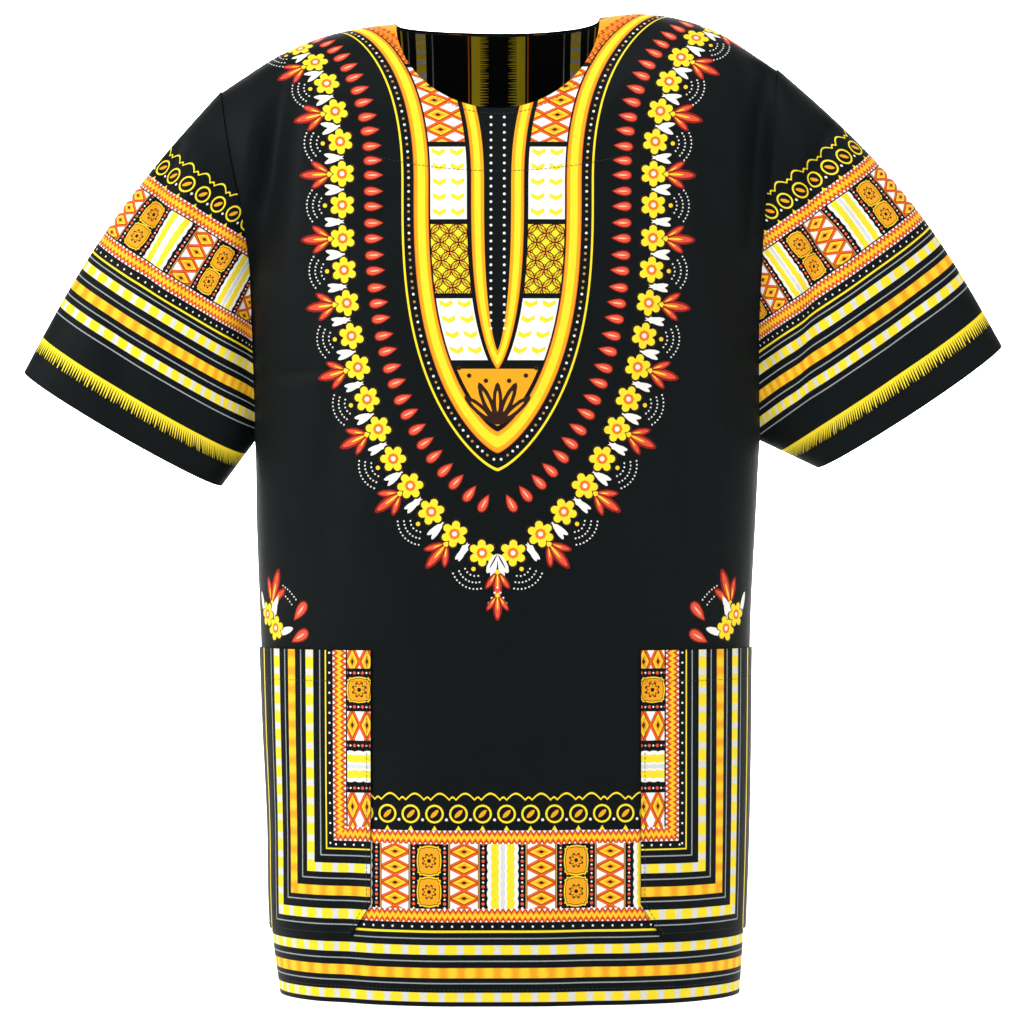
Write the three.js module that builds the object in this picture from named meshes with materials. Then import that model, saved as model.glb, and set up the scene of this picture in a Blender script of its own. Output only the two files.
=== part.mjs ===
// African print t-shirt: a wide dashiki tunic of cotton cloth, filled out with no wearer.
// Millimetres, +Z up. The origin is the middle of the neck at shoulder height. The front
// faces -Y and the wearer's right sleeve lies towards -X.
// Every piece of cloth is a thin closed wall: an outer grid of points worked out from the
// sizes below, an inner grid one cloth thickness inside it, and a rim that joins the two.
import * as THREE from 'three';

// ---- cloth ----
const CLOTH = 1.5; // thickness of a single wall
const TRIM = 1.2; // thickness of the pockets and the neck facing
const SEAM_GAP = 0.3; // space between two pieces of cloth that are sewn together
const ARMHOLE_GAP = 0.5; // the same at the armhole, where the walls meet at an angle

const FRONT = -1;
const BACK = 1;

// ---- body: half widths and half depths at each drop below the shoulder point ----
const BODY = [
  { drop: 0, left: 250, right: 254, front: 60, back: 90 },
  { drop: 80, left: 240, right: 247, front: 77, back: 94 },
  { drop: 160, left: 221, right: 231, front: 92, back: 98 },
  { drop: 250, left: 204, right: 217, front: 102, back: 99 },
  { drop: 335, left: 194.5, right: 209.5, front: 106, back: 96 },
  { drop: 400, left: 193, right: 206, front: 107, back: 94 },
  { drop: 480, left: 190, right: 202, front: 108, back: 95 },
  { drop: 560, left: 187, right: 201, front: 109, back: 98 },
  { drop: 640, left: 183, right: 199.5, front: 110, back: 101 },
  { drop: 720, left: 181, right: 196.5, front: 110, back: 103 },
  { drop: 776, left: 174, right: 193, front: 109, back: 103 },
];
const SECTION_POWER = 2.3; // 2 is an ellipse, and more is squarer
const UNDERARM_DROP = 335;
const HEM_DROP = 776;

// ---- shoulder ridge: height at each distance out from the neck ----
const RIDGE = [
  { out: 0, left: 0, right: 0 },
  { out: 80, left: -3, right: 2 },
  { out: 112, left: -7, right: 5 },
  { out: 144, left: -15, right: 1 },
  { out: 176, left: -29, right: -10 },
  { out: 206, left: -48, right: -29 },
  { out: 224, left: -60, right: -41 },
];
const SHOULDER_ROUNDING = { [FRONT]: 80, [BACK]: 60 }; // drop over which the cloth turns down

// ---- neck: a round neckline, low in front and high behind ----
const NECK_HALF_WIDTH = 81;
const NECK_DROP = { [FRONT]: 78, [BACK]: 6 };

// ---- armhole: distance of its seam from the middle at each drop ----
const ARMHOLE = [
  { drop: 36, left: 224, right: 223 },
  { drop: 100, left: 214, right: 218 },
  { drop: 160, left: 203, right: 212 },
  { drop: 230, left: 195.5, right: 208 },
  { drop: 300, left: 193.5, right: 207.5 },
  { drop: 335, left: 194.5, right: 209.5 },
];

// ---- sleeves: the two corners of each cuff and how far the cloth swells ----
const SLEEVE = {
  left: { side: -1, topX: -378, topZ: -282, lowX: -222, lowZ: -372, swell: 11 },
  right: { side: 1, topX: 402, topZ: -261, lowX: 256, lowZ: -357, swell: 16 },
};
const CUFF_HALF_DEPTH = 34;
const CUFF_BOW = 5; // the cuff edge is cut slightly round
const SLEEVE_FULLNESS = 0.22; // extra depth halfway down the sleeve

// ---- pockets: plain patches with one cut corner, sewn into the side seam ----
const POCKET = { inner: { left: 98, right: 111 }, topDrop: 501, bottomDrop: 724 };

// ---- neck facing: a collar-shaped piece inside the neckline, counted in the panels' cells ----
const FACING = { rows: 3, shoulderColumns: 4, gap: 0.8 };

// ---- folds: soft troughs, or ridges where the depth is negative ----
// Each runs through three places on the front or back, and is as wide and deep as given.
const FOLDS = [
  { face: FRONT, x1: -170, z1: -58, x2: -177, z2: -112, x3: -186, z3: -200, depth: 17, width: 13 },
  { face: FRONT, x1: -192, z1: -150, x2: -196, z2: -190, x3: -198, z3: -262, depth: 12, width: 12 },
  { face: FRONT, x1: -198, z1: -236, x2: -200, z2: -280, x3: -196, z3: -318, depth: 8, width: 9 },
  { face: FRONT, x1: -256, z1: -98, x2: -266, z2: -146, x3: -273, z3: -202, depth: 11, width: 9 },
  { face: FRONT, x1: -240, z1: -112, x2: -250, z2: -160, x3: -256, z3: -214, depth: -6, width: 12 },
  { face: FRONT, x1: -302, z1: -206, x2: -300, z2: -246, x3: -292, z3: -300, depth: 4, width: 15 },
  { face: FRONT, x1: 210, z1: -46, x2: 206, z2: -96, x3: 200, z3: -180, depth: 14, width: 11 },
  { face: FRONT, x1: 168, z1: -126, x2: 184, z2: -190, x3: 202, z3: -268, depth: 9, width: 19 },
  { face: FRONT, x1: 260, z1: -92, x2: 247, z2: -126, x3: 252, z3: -186, depth: 9, width: 9 },
  { face: FRONT, x1: 252, z1: -186, x2: 245, z2: -240, x3: 242, z3: -305, depth: 9, width: 9 },
  { face: FRONT, x1: 276, z1: -110, x2: 268, z2: -160, x3: 272, z3: -226, depth: -5, width: 12 },
  { face: FRONT, x1: 330, z1: -196, x2: 322, z2: -236, x3: 306, z3: -292, depth: 4, width: 15 },
  { face: FRONT, x1: -192, z1: -282, x2: -168, z2: -285, x3: -146, z3: -283, depth: 3, width: 6 },
  { face: FRONT, x1: -112, z1: -640, x2: -116, z2: -710, x3: -119, z3: -790, depth: 6, width: 15 },
  { face: FRONT, x1: -58, z1: -560, x2: -54, z2: -680, x3: -50, z3: -790, depth: -3, width: 26 },
  { face: FRONT, x1: 64, z1: -600, x2: 70, z2: -700, x3: 73, z3: -790, depth: 4, width: 22 },
  { face: FRONT, x1: 150, z1: -470, x2: 146, z2: -600, x3: 141, z3: -790, depth: -3, width: 20 },
  { face: FRONT, x1: 120, z1: -300, x2: 132, z2: -360, x3: 134, z3: -440, depth: 3, width: 18 },
  { face: FRONT, x1: -126, z1: -330, x2: -134, z2: -390, x3: -132, z3: -460, depth: 3, width: 18 },
  { face: BACK, x1: -172, z1: -60, x2: -180, z2: -120, x3: -190, z3: -208, depth: 14, width: 14 },
  { face: BACK, x1: -196, z1: -200, x2: -199, z2: -250, x3: -197, z3: -312, depth: 9, width: 11 },
  { face: BACK, x1: 188, z1: -60, x2: 194, z2: -130, x3: 200, z3: -214, depth: 13, width: 13 },
  { face: BACK, x1: 204, z1: -206, x2: 208, z2: -260, x3: 208, z3: -312, depth: 9, width: 10 },
  { face: BACK, x1: -262, z1: -120, x2: -270, z2: -170, x3: -268, z3: -240, depth: 8, width: 11 },
  { face: BACK, x1: 286, z1: -128, x2: 276, z2: -190, x3: 270, z3: -280, depth: 8, width: 11 },
  { face: BACK, x1: -96, z1: -70, x2: -40, z2: -92, x3: 40, z3: -90, depth: 3, width: 14 },
  { face: BACK, x1: -150, z1: -250, x2: -118, z2: -330, x3: -104, z3: -450, depth: 6, width: 18 },
  { face: BACK, x1: 158, z1: -244, x2: 128, z2: -340, x3: 118, z3: -470, depth: 5, width: 19 },
  { face: BACK, x1: -46, z1: -470, x2: -52, z2: -620, x3: -58, z3: -790, depth: 6, width: 22 },
  { face: BACK, x1: 22, z1: -520, x2: 18, z2: -650, x3: 14, z3: -790, depth: -5, width: 20 },
  { face: BACK, x1: 84, z1: -500, x2: 90, z2: -640, x3: 98, z3: -790, depth: 7, width: 20 },
  { face: BACK, x1: -132, z1: -540, x2: -136, z2: -660, x3: -140, z3: -790, depth: 4, width: 18 },
];
const FOLD_FADE = 24; // a fold dies out where front and back come this close to the side

// ---- how finely the cloth is divided ----
const COLUMNS = { neck: 9, outer: 10 }; // on each side: up to the pocket, and past it
const ROWS = {
  [FRONT]: { yoke: 12, waist: 6, pocket: 8, hem: 3 },
  [BACK]: { yoke: 11, waist: 4, pocket: 5, hem: 2 },
};
const SLEEVE_ROWS = 10;
const FAN_DROP = 150; // columns spread from the neckline over this drop
const EVENINGS = 1; // passes that even out the directions in which a panel gets its thickness
const SECTION_SAMPLES = 48;
const COLUMN_SAMPLES = 90;

// ---- small helpers ----
const clamp = (value, low, high) => Math.min(Math.max(value, low), high);
const mix = (a, b, share) => a + (b - a) * share;
const sideOf = (x) => (x < 0 ? 'left' : 'right');
const easeIn = (value, range) => {
  const share = clamp(Math.abs(value) / range, 0, 1);
  return share * share * (3 - 2 * share);
};

/** A smooth curve through one named column of a table whose rows are sorted by another. */
function curveThrough(rows, by, name) {
  const keys = rows.map((row) => row[by]);
  const values = rows.map((row) => row[name]);
  const last = keys.length - 1;
  const slopes = keys.map((_, i) => {
    const before = Math.max(i - 1, 0);
    const after = Math.min(i + 1, last);
    return (values[after] - values[before]) / (keys[after] - keys[before]);
  });
  return (key) => {
    const at = clamp(key, keys[0], keys[last]);
    let i = 0;
    while (i < last - 1 && at > keys[i + 1]) i += 1;
    const step = keys[i + 1] - keys[i];
    const s = (at - keys[i]) / step;
    const rise = s * s * (3 - 2 * s);
    const bend = s * (1 - s) * ((1 - s) * slopes[i] - s * slopes[i + 1]) * step;
    return mix(values[i], values[i + 1], rise) + bend;
  };
}

const body = {};
for (const name of ['left', 'right', 'front', 'back']) body[name] = curveThrough(BODY, 'drop', name);
const ridge = { left: curveThrough(RIDGE, 'out', 'left'), right: curveThrough(RIDGE, 'out', 'right') };
const armhole = {
  left: curveThrough(ARMHOLE, 'drop', 'left'),
  right: curveThrough(ARMHOLE, 'drop', 'right'),
};

const ridgeAt = (x) => ridge[sideOf(x)](Math.abs(x));
const halfWidth = (side, z) => body[side](-z);
const halfDepth = (face, z) => body[face === FRONT ? 'front' : 'back'](-z);

/** Distance from the middle to the panel's side edge: the armhole, then the side seam. */
function panelEdge(side, z) {
  return -z < UNDERARM_DROP ? armhole[side](-z) : halfWidth(side, z);
}

/** Height of the panel's top edge above a place x: the neckline, then the shoulder ridge. */
function topEdge(face, x) {
  const out = Math.abs(x);
  if (out >= NECK_HALF_WIDTH) return ridgeAt(x);
  const corner = ridge[sideOf(x)](NECK_HALF_WIDTH);
  const round = Math.sqrt(1 - (out / NECK_HALF_WIDTH) ** 2);
  return corner - (NECK_DROP[face] + corner) * round;
}

/** Depth of the level section at a share of its half width. */
function sectionDepth(share) {
  return (1 - clamp(share, 0, 1) ** SECTION_POWER) ** (1 / SECTION_POWER);
}

/** The body's surface over a place (x, z), as its distance in front of or behind the middle. */
function bodyDepth(face, x, z) {
  const share = Math.abs(x) / halfWidth(sideOf(x), z);
  const below = clamp((ridgeAt(x) - z) / SHOULDER_ROUNDING[face], 0, 1);
  const turned = Math.sqrt(1 - (1 - below) ** 2);
  return face * (halfDepth(face, z) * sectionDepth(share) * turned + SEAM_GAP / 2);
}

/** How far the folds push the cloth in at a place on the front or back. */
function foldDepth(face, x, z) {
  let total = 0;
  for (const fold of FOLDS) {
    if (fold.face !== face) continue;
    const legs = [
      [fold.x1, fold.z1, fold.x2, fold.z2, 0],
      [fold.x2, fold.z2, fold.x3, fold.z3, 0.5],
    ];
    let nearest = Infinity;
    let along = 0;
    for (const [ax, az, bx, bz, start] of legs) {
      const dx = bx - ax;
      const dz = bz - az;
      const share = clamp(((x - ax) * dx + (z - az) * dz) / (dx * dx + dz * dz), 0, 1);
      const distance = Math.hypot(x - ax - dx * share, z - az - dz * share);
      if (distance < nearest) {
        nearest = distance;
        along = start + share / 2;
      }
    }
    const swell = 0.55 + 0.45 * Math.sin(Math.PI * along);
    total += fold.depth * swell * Math.exp(-((nearest / fold.width) ** 2));
  }
  return total;
}

/** A point of plain cloth with the folds pressed into it. */
function folded(point) {
  const face = point.y < 0 ? FRONT : BACK;
  const push = foldDepth(face, point.x, point.z) * easeIn(point.y, FOLD_FADE);
  return new THREE.Vector3(point.x, point.y - face * push, point.z);
}

/** Points spaced evenly along a chain of points: count steps from the first to the last. */
function spacedEvenly(chain, count) {
  const lengths = [0];
  for (let i = 1; i < chain.length; i += 1) {
    lengths.push(lengths[i - 1] + chain[i].distanceTo(chain[i - 1]));
  }
  const whole = lengths[lengths.length - 1];
  const points = [];
  let i = 0;
  for (let k = 0; k <= count; k += 1) {
    const wanted = (whole * k) / count;
    while (i < chain.length - 2 && lengths[i + 1] < wanted) i += 1;
    const share = clamp((wanted - lengths[i]) / (lengths[i + 1] - lengths[i]), 0, 1);
    points.push(new THREE.Vector3().lerpVectors(chain[i], chain[i + 1], share));
  }
  return points;
}

/** Lengths along half a level section, from the middle to the panel's side edge. */
function halfSection(face, side, z) {
  const edge = panelEdge(side, z);
  const width = halfWidth(side, z);
  const depth = halfDepth(face, z);
  const xs = [0];
  const lengths = [0];
  let before = depth;
  for (let k = 1; k <= SECTION_SAMPLES; k += 1) {
    const x = edge * Math.sin((Math.PI / 2) * (k / SECTION_SAMPLES));
    const y = depth * sectionDepth(x / width);
    lengths.push(lengths[k - 1] + Math.hypot(x - xs[k - 1], y - before));
    xs.push(x);
    before = y;
  }
  return { xs, lengths };
}

/** The place x at a share of the way round from the middle (0) to the side edge (-1 or 1). */
function placeAcross(face, share, z) {
  const side = sideOf(share);
  const { xs, lengths } = halfSection(face, side, z);
  const wanted = Math.abs(share) * lengths[SECTION_SAMPLES];
  let k = 0;
  while (k < SECTION_SAMPLES - 1 && lengths[k + 1] < wanted) k += 1;
  const part = (wanted - lengths[k]) / (lengths[k + 1] - lengths[k]);
  return Math.sign(share) * mix(xs[k], xs[k + 1], clamp(part, 0, 1));
}

/** The share of the way round at which a section passes a place x. */
function shareAcross(face, x, z) {
  const { xs, lengths } = halfSection(face, sideOf(x), z);
  const out = Math.abs(x);
  let k = 0;
  while (k < SECTION_SAMPLES - 1 && xs[k + 1] < out) k += 1;
  const part = (out - xs[k]) / (xs[k + 1] - xs[k]);
  return (Math.sign(x) * mix(lengths[k], lengths[k + 1], part)) / lengths[SECTION_SAMPLES];
}

/** Where the shoulder ridge meets the armhole. */
function shoulderTip(side) {
  let x = ARMHOLE[0][side];
  for (let pass = 0; pass < 8; pass += 1) x = armhole[side](-ridge[side](x));
  return x;
}

/** The top ends of a half panel's columns, along the neckline and then the ridge. */
function columnTops(face, end) {
  const neckline = [];
  const shoulder = [];
  const tip = shoulderTip(sideOf(end));
  for (let k = 0; k <= COLUMN_SAMPLES; k += 1) {
    const x = end * NECK_HALF_WIDTH * Math.sin((Math.PI / 2) * (k / COLUMN_SAMPLES));
    const z = topEdge(face, x);
    neckline.push(new THREE.Vector3(x, bodyDepth(face, x, z), z));
    const out = end * mix(NECK_HALF_WIDTH, tip, k / COLUMN_SAMPLES);
    shoulder.push(new THREE.Vector3(out, 0, ridgeAt(out)));
  }
  return [
    ...spacedEvenly(neckline, COLUMNS.neck),
    ...spacedEvenly(shoulder, COLUMNS.outer).slice(1),
  ];
}

/** The columns of a half panel: where each starts, and its share of the way round below. */
function halfColumns(face, end) {
  const { neck, outer } = COLUMNS;
  const pocketZ = -(POCKET.topDrop + POCKET.bottomDrop) / 2;
  const seam = shareAcross(face, end * POCKET.inner[sideOf(end)], pocketZ);
  return columnTops(face, end).map((top, k) => ({
    top,
    share: k <= neck ? (seam * k) / neck : mix(seam, end, (k - neck) / outer),
  }));
}

/** One stretch of a panel's column, between two heights, closely sampled from the top. */
function columnStretch(face, { top, share }, fromZ, toZ) {
  const side = sideOf(share);
  const topPart = Math.abs(top.x) / panelEdge(side, top.z);
  const chain = [];
  for (let k = 0; k <= COLUMN_SAMPLES; k += 1) {
    const z = mix(fromZ, toZ, (k / COLUMN_SAMPLES) ** 2);
    const edge = panelEdge(side, z);
    const part = Math.abs(placeAcross(face, share, z)) / edge;
    const fanned = Math.sqrt(clamp((top.z - z) / FAN_DROP, 0, 1));
    const x = Math.sign(share) * edge * mix(topPart, part, fanned);
    chain.push(new THREE.Vector3(x, bodyDepth(face, x, z), z));
  }
  return chain;
}

/** A panel's plain points, row by row from the neck to the hem, before any fold. */
function plainPanel(face) {
  const { yoke, waist, pocket, hem } = ROWS[face];
  const columns = [...halfColumns(face, -1).slice(1).reverse(), ...halfColumns(face, 1)];
  const drawn = columns.map((column) => {
    const stretches = [
      [column.top.z, -UNDERARM_DROP, yoke],
      [-UNDERARM_DROP, -POCKET.topDrop, waist],
      [-POCKET.topDrop, -POCKET.bottomDrop, pocket],
      [-POCKET.bottomDrop, -HEM_DROP, hem],
    ];
    const points = [];
    for (const [fromZ, toZ, steps] of stretches) {
      const stretch = spacedEvenly(columnStretch(face, column, fromZ, toZ), steps);
      points.push(...(points.length ? stretch.slice(1) : stretch));
    }
    return points;
  });
  const rows = drawn[0].map((_, r) => drawn.map((column) => column[r]));
  return { face, rows };
}

/**
 * Triangles of a grid of rows, anticlockwise as seen from outside. The cells are cut along
 * one diagonal up to the column named middle, and along the other one past it.
 */
function gridFaces(rowCount, columnCount, { closed = false, turned = false, middle = Infinity }) {
  const faces = [];
  const across = closed ? columnCount : columnCount - 1;
  for (let r = 0; r < rowCount - 1; r += 1) {
    for (let c = 0; c < across; c += 1) {
      const next = (c + 1) % columnCount;
      const a = r * columnCount + c;
      const b = r * columnCount + next;
      const d = (r + 1) * columnCount + c;
      const e = (r + 1) * columnCount + next;
      const cell = c < middle ? [[a, d, e], [a, e, b]] : [[a, d, b], [b, d, e]];
      faces.push(...(turned ? cell.map(([i, j, k]) => [i, k, j]) : cell));
    }
  }
  return faces;
}

/** Outward directions at the points of a piece of cloth, averaged over its triangles. */
function outwardAt(points, faces, evenings = 0) {
  const normals = points.map(() => new THREE.Vector3());
  for (const [i, j, k] of faces) {
    const ab = new THREE.Vector3().subVectors(points[j], points[i]);
    const ac = new THREE.Vector3().subVectors(points[k], points[i]);
    const normal = ab.cross(ac);
    for (const index of [i, j, k]) normals[index].add(normal);
  }
  let directions = normals.map((normal) => normal.normalize());
  for (let pass = 0; pass < evenings; pass += 1) {
    const evened = directions.map((direction) => direction.clone());
    for (const triangle of faces) {
      for (const i of triangle) for (const j of triangle) evened[i].add(directions[j]);
    }
    directions = evened.map((direction) => direction.normalize());
  }
  return directions;
}

const moved = (point, direction, distance) => point.clone().addScaledVector(direction, distance);

/** A closed wall between an outer and an inner set of points with the same triangles. */
function wall(outer, inner, faces) {
  const count = outer.length;
  const index = [];
  const edges = new Map();
  for (const [i, j, k] of faces) {
    index.push(i, j, k, i + count, k + count, j + count);
    for (const [from, to] of [[i, j], [j, k], [k, i]]) edges.set(`${from}>${to}`, [from, to]);
  }
  for (const [from, to] of edges.values()) {
    if (edges.has(`${to}>${from}`)) continue;
    index.push(from, from + count, to + count, from, to + count, to);
  }
  const geometry = new THREE.BufferGeometry();
  const flat = [...outer, ...inner].flatMap((point) => point.toArray());
  geometry.setAttribute('position', new THREE.Float32BufferAttribute(flat, 3));
  geometry.setIndex(index);
  geometry.computeVertexNormals();
  return geometry;
}

const cloth = (colour) =>
  new THREE.MeshStandardMaterial({ color: colour, roughness: 0.9, metalness: 0 });

function piece(name, geometry, colour) {
  const mesh = new THREE.Mesh(geometry, cloth(colour));
  mesh.name = name;
  return mesh;
}

/** A wall over part of a panel: some of its points, moved out by two distances. */
function shiftedCopy(panel, places, faces, far, near) {
  const used = [...new Set(faces.flat())];
  const renumbered = new Map(used.map((old, i) => [old, i]));
  const lift = (distance) =>
    used.map((i) => moved(panel.points[places[i]], panel.normals[places[i]], distance));
  const triangles = faces.map((face) => face.map((i) => renumbered.get(i)));
  return wall(lift(far), lift(near), triangles);
}

/** A front or back panel: its points, outward directions, triangles and inner points. */
function makePanel(face) {
  const plain = plainPanel(face);
  const rowCount = plain.rows.length;
  const columnCount = plain.rows[0].length;
  const points = plain.rows.flat().map(folded);
  const middle = (columnCount - 1) / 2;
  const faces = gridFaces(rowCount, columnCount, { turned: face === BACK, middle });
  const normals = outwardAt(points, faces, EVENINGS).map((normal, i) => {
    if (Math.abs(points[i].y) < 1) normal.setY(0).normalize(); // front and back meet square
    return normal;
  });
  const inner = points.map((point, i) => moved(point, normals[i], -CLOTH));
  return { ...plain, columnCount, middle, points, faces, normals, inner };
}

/** A pocket: the front panel's own points over the patch, moved out, with one corner cut. */
function pocketGeometry(panel, side) {
  const { yoke, waist, pocket } = ROWS[FRONT];
  const width = COLUMNS.outer + 1;
  const firstColumn = side < 0 ? 0 : panel.columnCount - width;
  const covered = [];
  for (let r = 0; r <= pocket; r += 1) {
    for (let c = 0; c < width; c += 1) {
      covered.push((yoke + waist + r) * panel.columnCount + firstColumn + c);
    }
  }
  const corner = pocket * width + (side < 0 ? width - 1 : 0); // the lower corner nearest the middle
  const beside = corner + side;
  const above = corner - width;
  const across = beside - width;
  const cells = gridFaces(pocket + 1, width, { middle: side < 0 ? Infinity : 0 });
  const kept = cells.filter((triangle) => !triangle.includes(corner));
  kept.push(side < 0 ? [across, beside, above] : [above, beside, across]);
  return shiftedCopy(panel, covered, kept, SEAM_GAP + TRIM, SEAM_GAP);
}

/** One half of the armhole ring on a panel: plain edge points from shoulder to underarm. */
function armholeEdge(panel, side) {
  const column = side < 0 ? 0 : panel.columnCount - 1;
  const inward = side < 0 ? 1 : -1;
  const steps = ROWS[panel.face].yoke;
  const edge = [];
  for (let r = 0; r <= steps; r += 1) {
    const i = r * panel.columnCount + column;
    edge.push({
      plain: panel.rows[r][column],
      normal: panel.normals[i],
      across: new THREE.Vector3().subVectors(panel.points[i], panel.points[i + inward]).normalize(),
    });
  }
  return edge;
}

/** Half of the cuff's ring, from its top corner round the front or back to the low corner. */
function cuffHalf(size, face, steps) {
  const centre = new THREE.Vector3((size.topX + size.lowX) / 2, 0, (size.topZ + size.lowZ) / 2);
  const reach = new THREE.Vector3(size.topX, 0, size.topZ).sub(centre);
  const down = new THREE.Vector3(size.side * Math.abs(reach.z), 0, -Math.abs(reach.x)).normalize();
  const chain = [];
  for (let k = 0; k <= SECTION_SAMPLES; k += 1) {
    const angle = (Math.PI * k) / SECTION_SAMPLES;
    const point = moved(centre, reach, Math.cos(angle));
    point.y = face * CUFF_HALF_DEPTH * Math.sin(angle);
    chain.push(moved(point, down, CUFF_BOW * Math.sin(angle)));
  }
  return spacedEvenly(chain, steps);
}

/** A sleeve: a tube from the armhole ring to the cuff ring, swelling over the arm. */
function sleeveGeometry(panels, size) {
  const front = armholeEdge(panels[FRONT], size.side);
  const back = armholeEdge(panels[BACK], size.side);
  const ring = [...front, ...back.slice(1, -1).reverse()];
  const cuff = [
    ...cuffHalf(size, FRONT, front.length - 1),
    ...cuffHalf(size, BACK, back.length - 1).slice(1, -1).reverse(),
  ];
  const underarm = front.length - 1;
  const top = ring[0].plain;
  const topLine = new THREE.Vector3(size.topX - top.x, 0, size.topZ - top.z).normalize();
  const outwards = new THREE.Vector3(-topLine.z * size.side, 0, Math.abs(topLine.x));
  const points = [];
  for (let r = 0; r <= SLEEVE_ROWS; r += 1) {
    const share = r / SLEEVE_ROWS;
    const swell = Math.sin(Math.PI * share);
    ring.forEach((edge, k) => {
      const start = edge.plain.clone();
      if (k === 0 || k === underarm) start.y = 0;
      const point = start.lerp(cuff[k], share);
      const around = k <= underarm ? k / underarm : (ring.length - k) / (ring.length - underarm);
      const overTop = ((1 + Math.cos(Math.PI * around)) / 2) ** 2;
      point.y *= 1 + SLEEVE_FULLNESS * swell;
      point.addScaledVector(outwards, size.swell * swell * overTop);
      points.push(folded(point));
    });
  }
  const count = ring.length;
  const faces = gridFaces(SLEEVE_ROWS + 1, count, { closed: true, turned: size.side > 0 });
  const own = outwardAt(points, faces);
  ring.forEach((edge, k) => {
    const outside = new THREE.Vector3(size.side, 0, -0.3).normalize();
    const across = k === 0 || k === underarm ? outside : edge.across;
    if (own[k].dot(across) > 0 && k !== underarm) own[k] = edge.normal;
    points[k].addScaledVector(outside, ARMHOLE_GAP);
  });
  const inner = points.map((point, i) => moved(point, own[i], -CLOTH));
  return wall(points, inner, faces);
}

/**
 * The facing: the panels' own points round the neckline, moved in, and joined over the
 * shoulders where front and back share the ridge. Its lower corners are cut off.
 */
function facingGeometry(panels) {
  const { neck } = COLUMNS;
  const reach = neck + FACING.shoulderColumns;
  const { columnCount, middle } = panels[FRONT];
  const spots = { points: [], normals: [] };
  const numbers = new Map();
  const numberOf = (face, row, column) => {
    const shared = row === 0 && Math.abs(column - middle) >= neck;
    const key = `${shared ? FRONT : face} ${row} ${column}`;
    if (!numbers.has(key)) {
      const i = row * columnCount + column;
      const point = panels[face].inner[i].clone();
      if (shared) point.y = 0;
      numbers.set(key, spots.points.length);
      spots.points.push(point);
      spots.normals.push(panels[face].normals[i]);
    }
    return numbers.get(key);
  };
  const faces = [];
  for (const face of [FRONT, BACK]) {
    for (const triangle of panels[face].faces) {
      const cells = triangle.map((i) => [Math.floor(i / columnCount), i % columnCount]);
      const row = cells.reduce((sum, [r]) => sum + r, 0) / 3;
      const out = cells.reduce((sum, [, c]) => sum + Math.abs(c - middle), 0) / 3;
      const fromSide = reach - out;
      if (fromSide < 0 || row > FACING.rows || row > fromSide + 1) continue;
      faces.push(cells.map(([r, c]) => numberOf(face, r, c)));
    }
  }
  const depth = (distance) =>
    spots.points.map((point, i) => moved(point, spots.normals[i], -distance));
  return wall(depth(FACING.gap), depth(FACING.gap + TRIM), faces);
}

const panels = { [FRONT]: makePanel(FRONT), [BACK]: makePanel(BACK) };
const group = new THREE.Group();
group.add(
  piece('front', wall(panels[FRONT].points, panels[FRONT].inner, panels[FRONT].faces), 0x14191a),
  piece('back', wall(panels[BACK].points, panels[BACK].inner, panels[BACK].faces), 0x1d2426),
  piece('sleeve_left', sleeveGeometry(panels, SLEEVE.left), 0x2c3a3a),
  piece('sleeve_right', sleeveGeometry(panels, SLEEVE.right), 0x2c3a3a),
  piece('pocket_left', pocketGeometry(panels[FRONT], -1), 0xd8c23a),
  piece('pocket_right', pocketGeometry(panels[FRONT], 1), 0xd8c23a),
  piece('neck_facing', facingGeometry(panels), 0xc9b24a),
);

export default group;
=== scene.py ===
"""African print t-shirt: a wide dashiki tunic of wax-printed cotton, filled out with no wearer.

The cloth's sizes are in millimetres, and MM turns them into the scene's metres. +Z is up, the
origin is the middle of the neck at shoulder height, and the front faces -Y. Every piece is cut
flat, printed, and then laid on the tunic's form: a flat place is (across, down) in millimetres.
"""
import sys
import logging
import math
from collections.abc import Callable, Iterable, Sequence
from dataclasses import dataclass, field
from enum import Enum

import bpy
import numpy as np
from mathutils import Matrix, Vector
from mathutils.geometry import delaunay_2d_cdt


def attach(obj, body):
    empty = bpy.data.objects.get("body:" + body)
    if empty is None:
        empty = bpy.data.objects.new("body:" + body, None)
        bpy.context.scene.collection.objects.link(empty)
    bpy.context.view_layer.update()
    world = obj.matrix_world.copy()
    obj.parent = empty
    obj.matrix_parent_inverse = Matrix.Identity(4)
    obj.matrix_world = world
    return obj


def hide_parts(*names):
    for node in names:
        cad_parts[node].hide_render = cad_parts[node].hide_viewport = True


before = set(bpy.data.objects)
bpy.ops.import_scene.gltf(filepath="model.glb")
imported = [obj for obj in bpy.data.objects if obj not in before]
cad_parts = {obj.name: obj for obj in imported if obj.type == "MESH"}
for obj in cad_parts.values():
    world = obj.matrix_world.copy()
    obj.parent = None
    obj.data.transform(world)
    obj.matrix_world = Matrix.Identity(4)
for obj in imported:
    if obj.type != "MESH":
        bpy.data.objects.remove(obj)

MM = 0.001
SEED = 11
Array = np.ndarray
Colour = tuple[float, float, float, float]
Paint = bpy.types.NodeSocket | Colour
log = logging.getLogger("tunic")


class Face(Enum):
    """A side of the tunic, as the sign of its place on the Y axis."""

    FRONT = -1
    BACK = 1


# ---------------------------------------------------------------- the form of the tunic


@dataclass(frozen=True)
class BodyLevel:
    """Half widths and half depths of the body at one drop below the shoulder point."""

    drop: float
    left: float
    right: float
    front: float
    back: float


@dataclass(frozen=True)
class RidgePoint:
    """Height of the shoulder ridge at one distance out from the middle."""

    out: float
    left: float
    right: float


@dataclass(frozen=True)
class ArmholePoint:
    """Distance of the armhole seam from the middle at one drop."""

    drop: float
    left: float
    right: float


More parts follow.
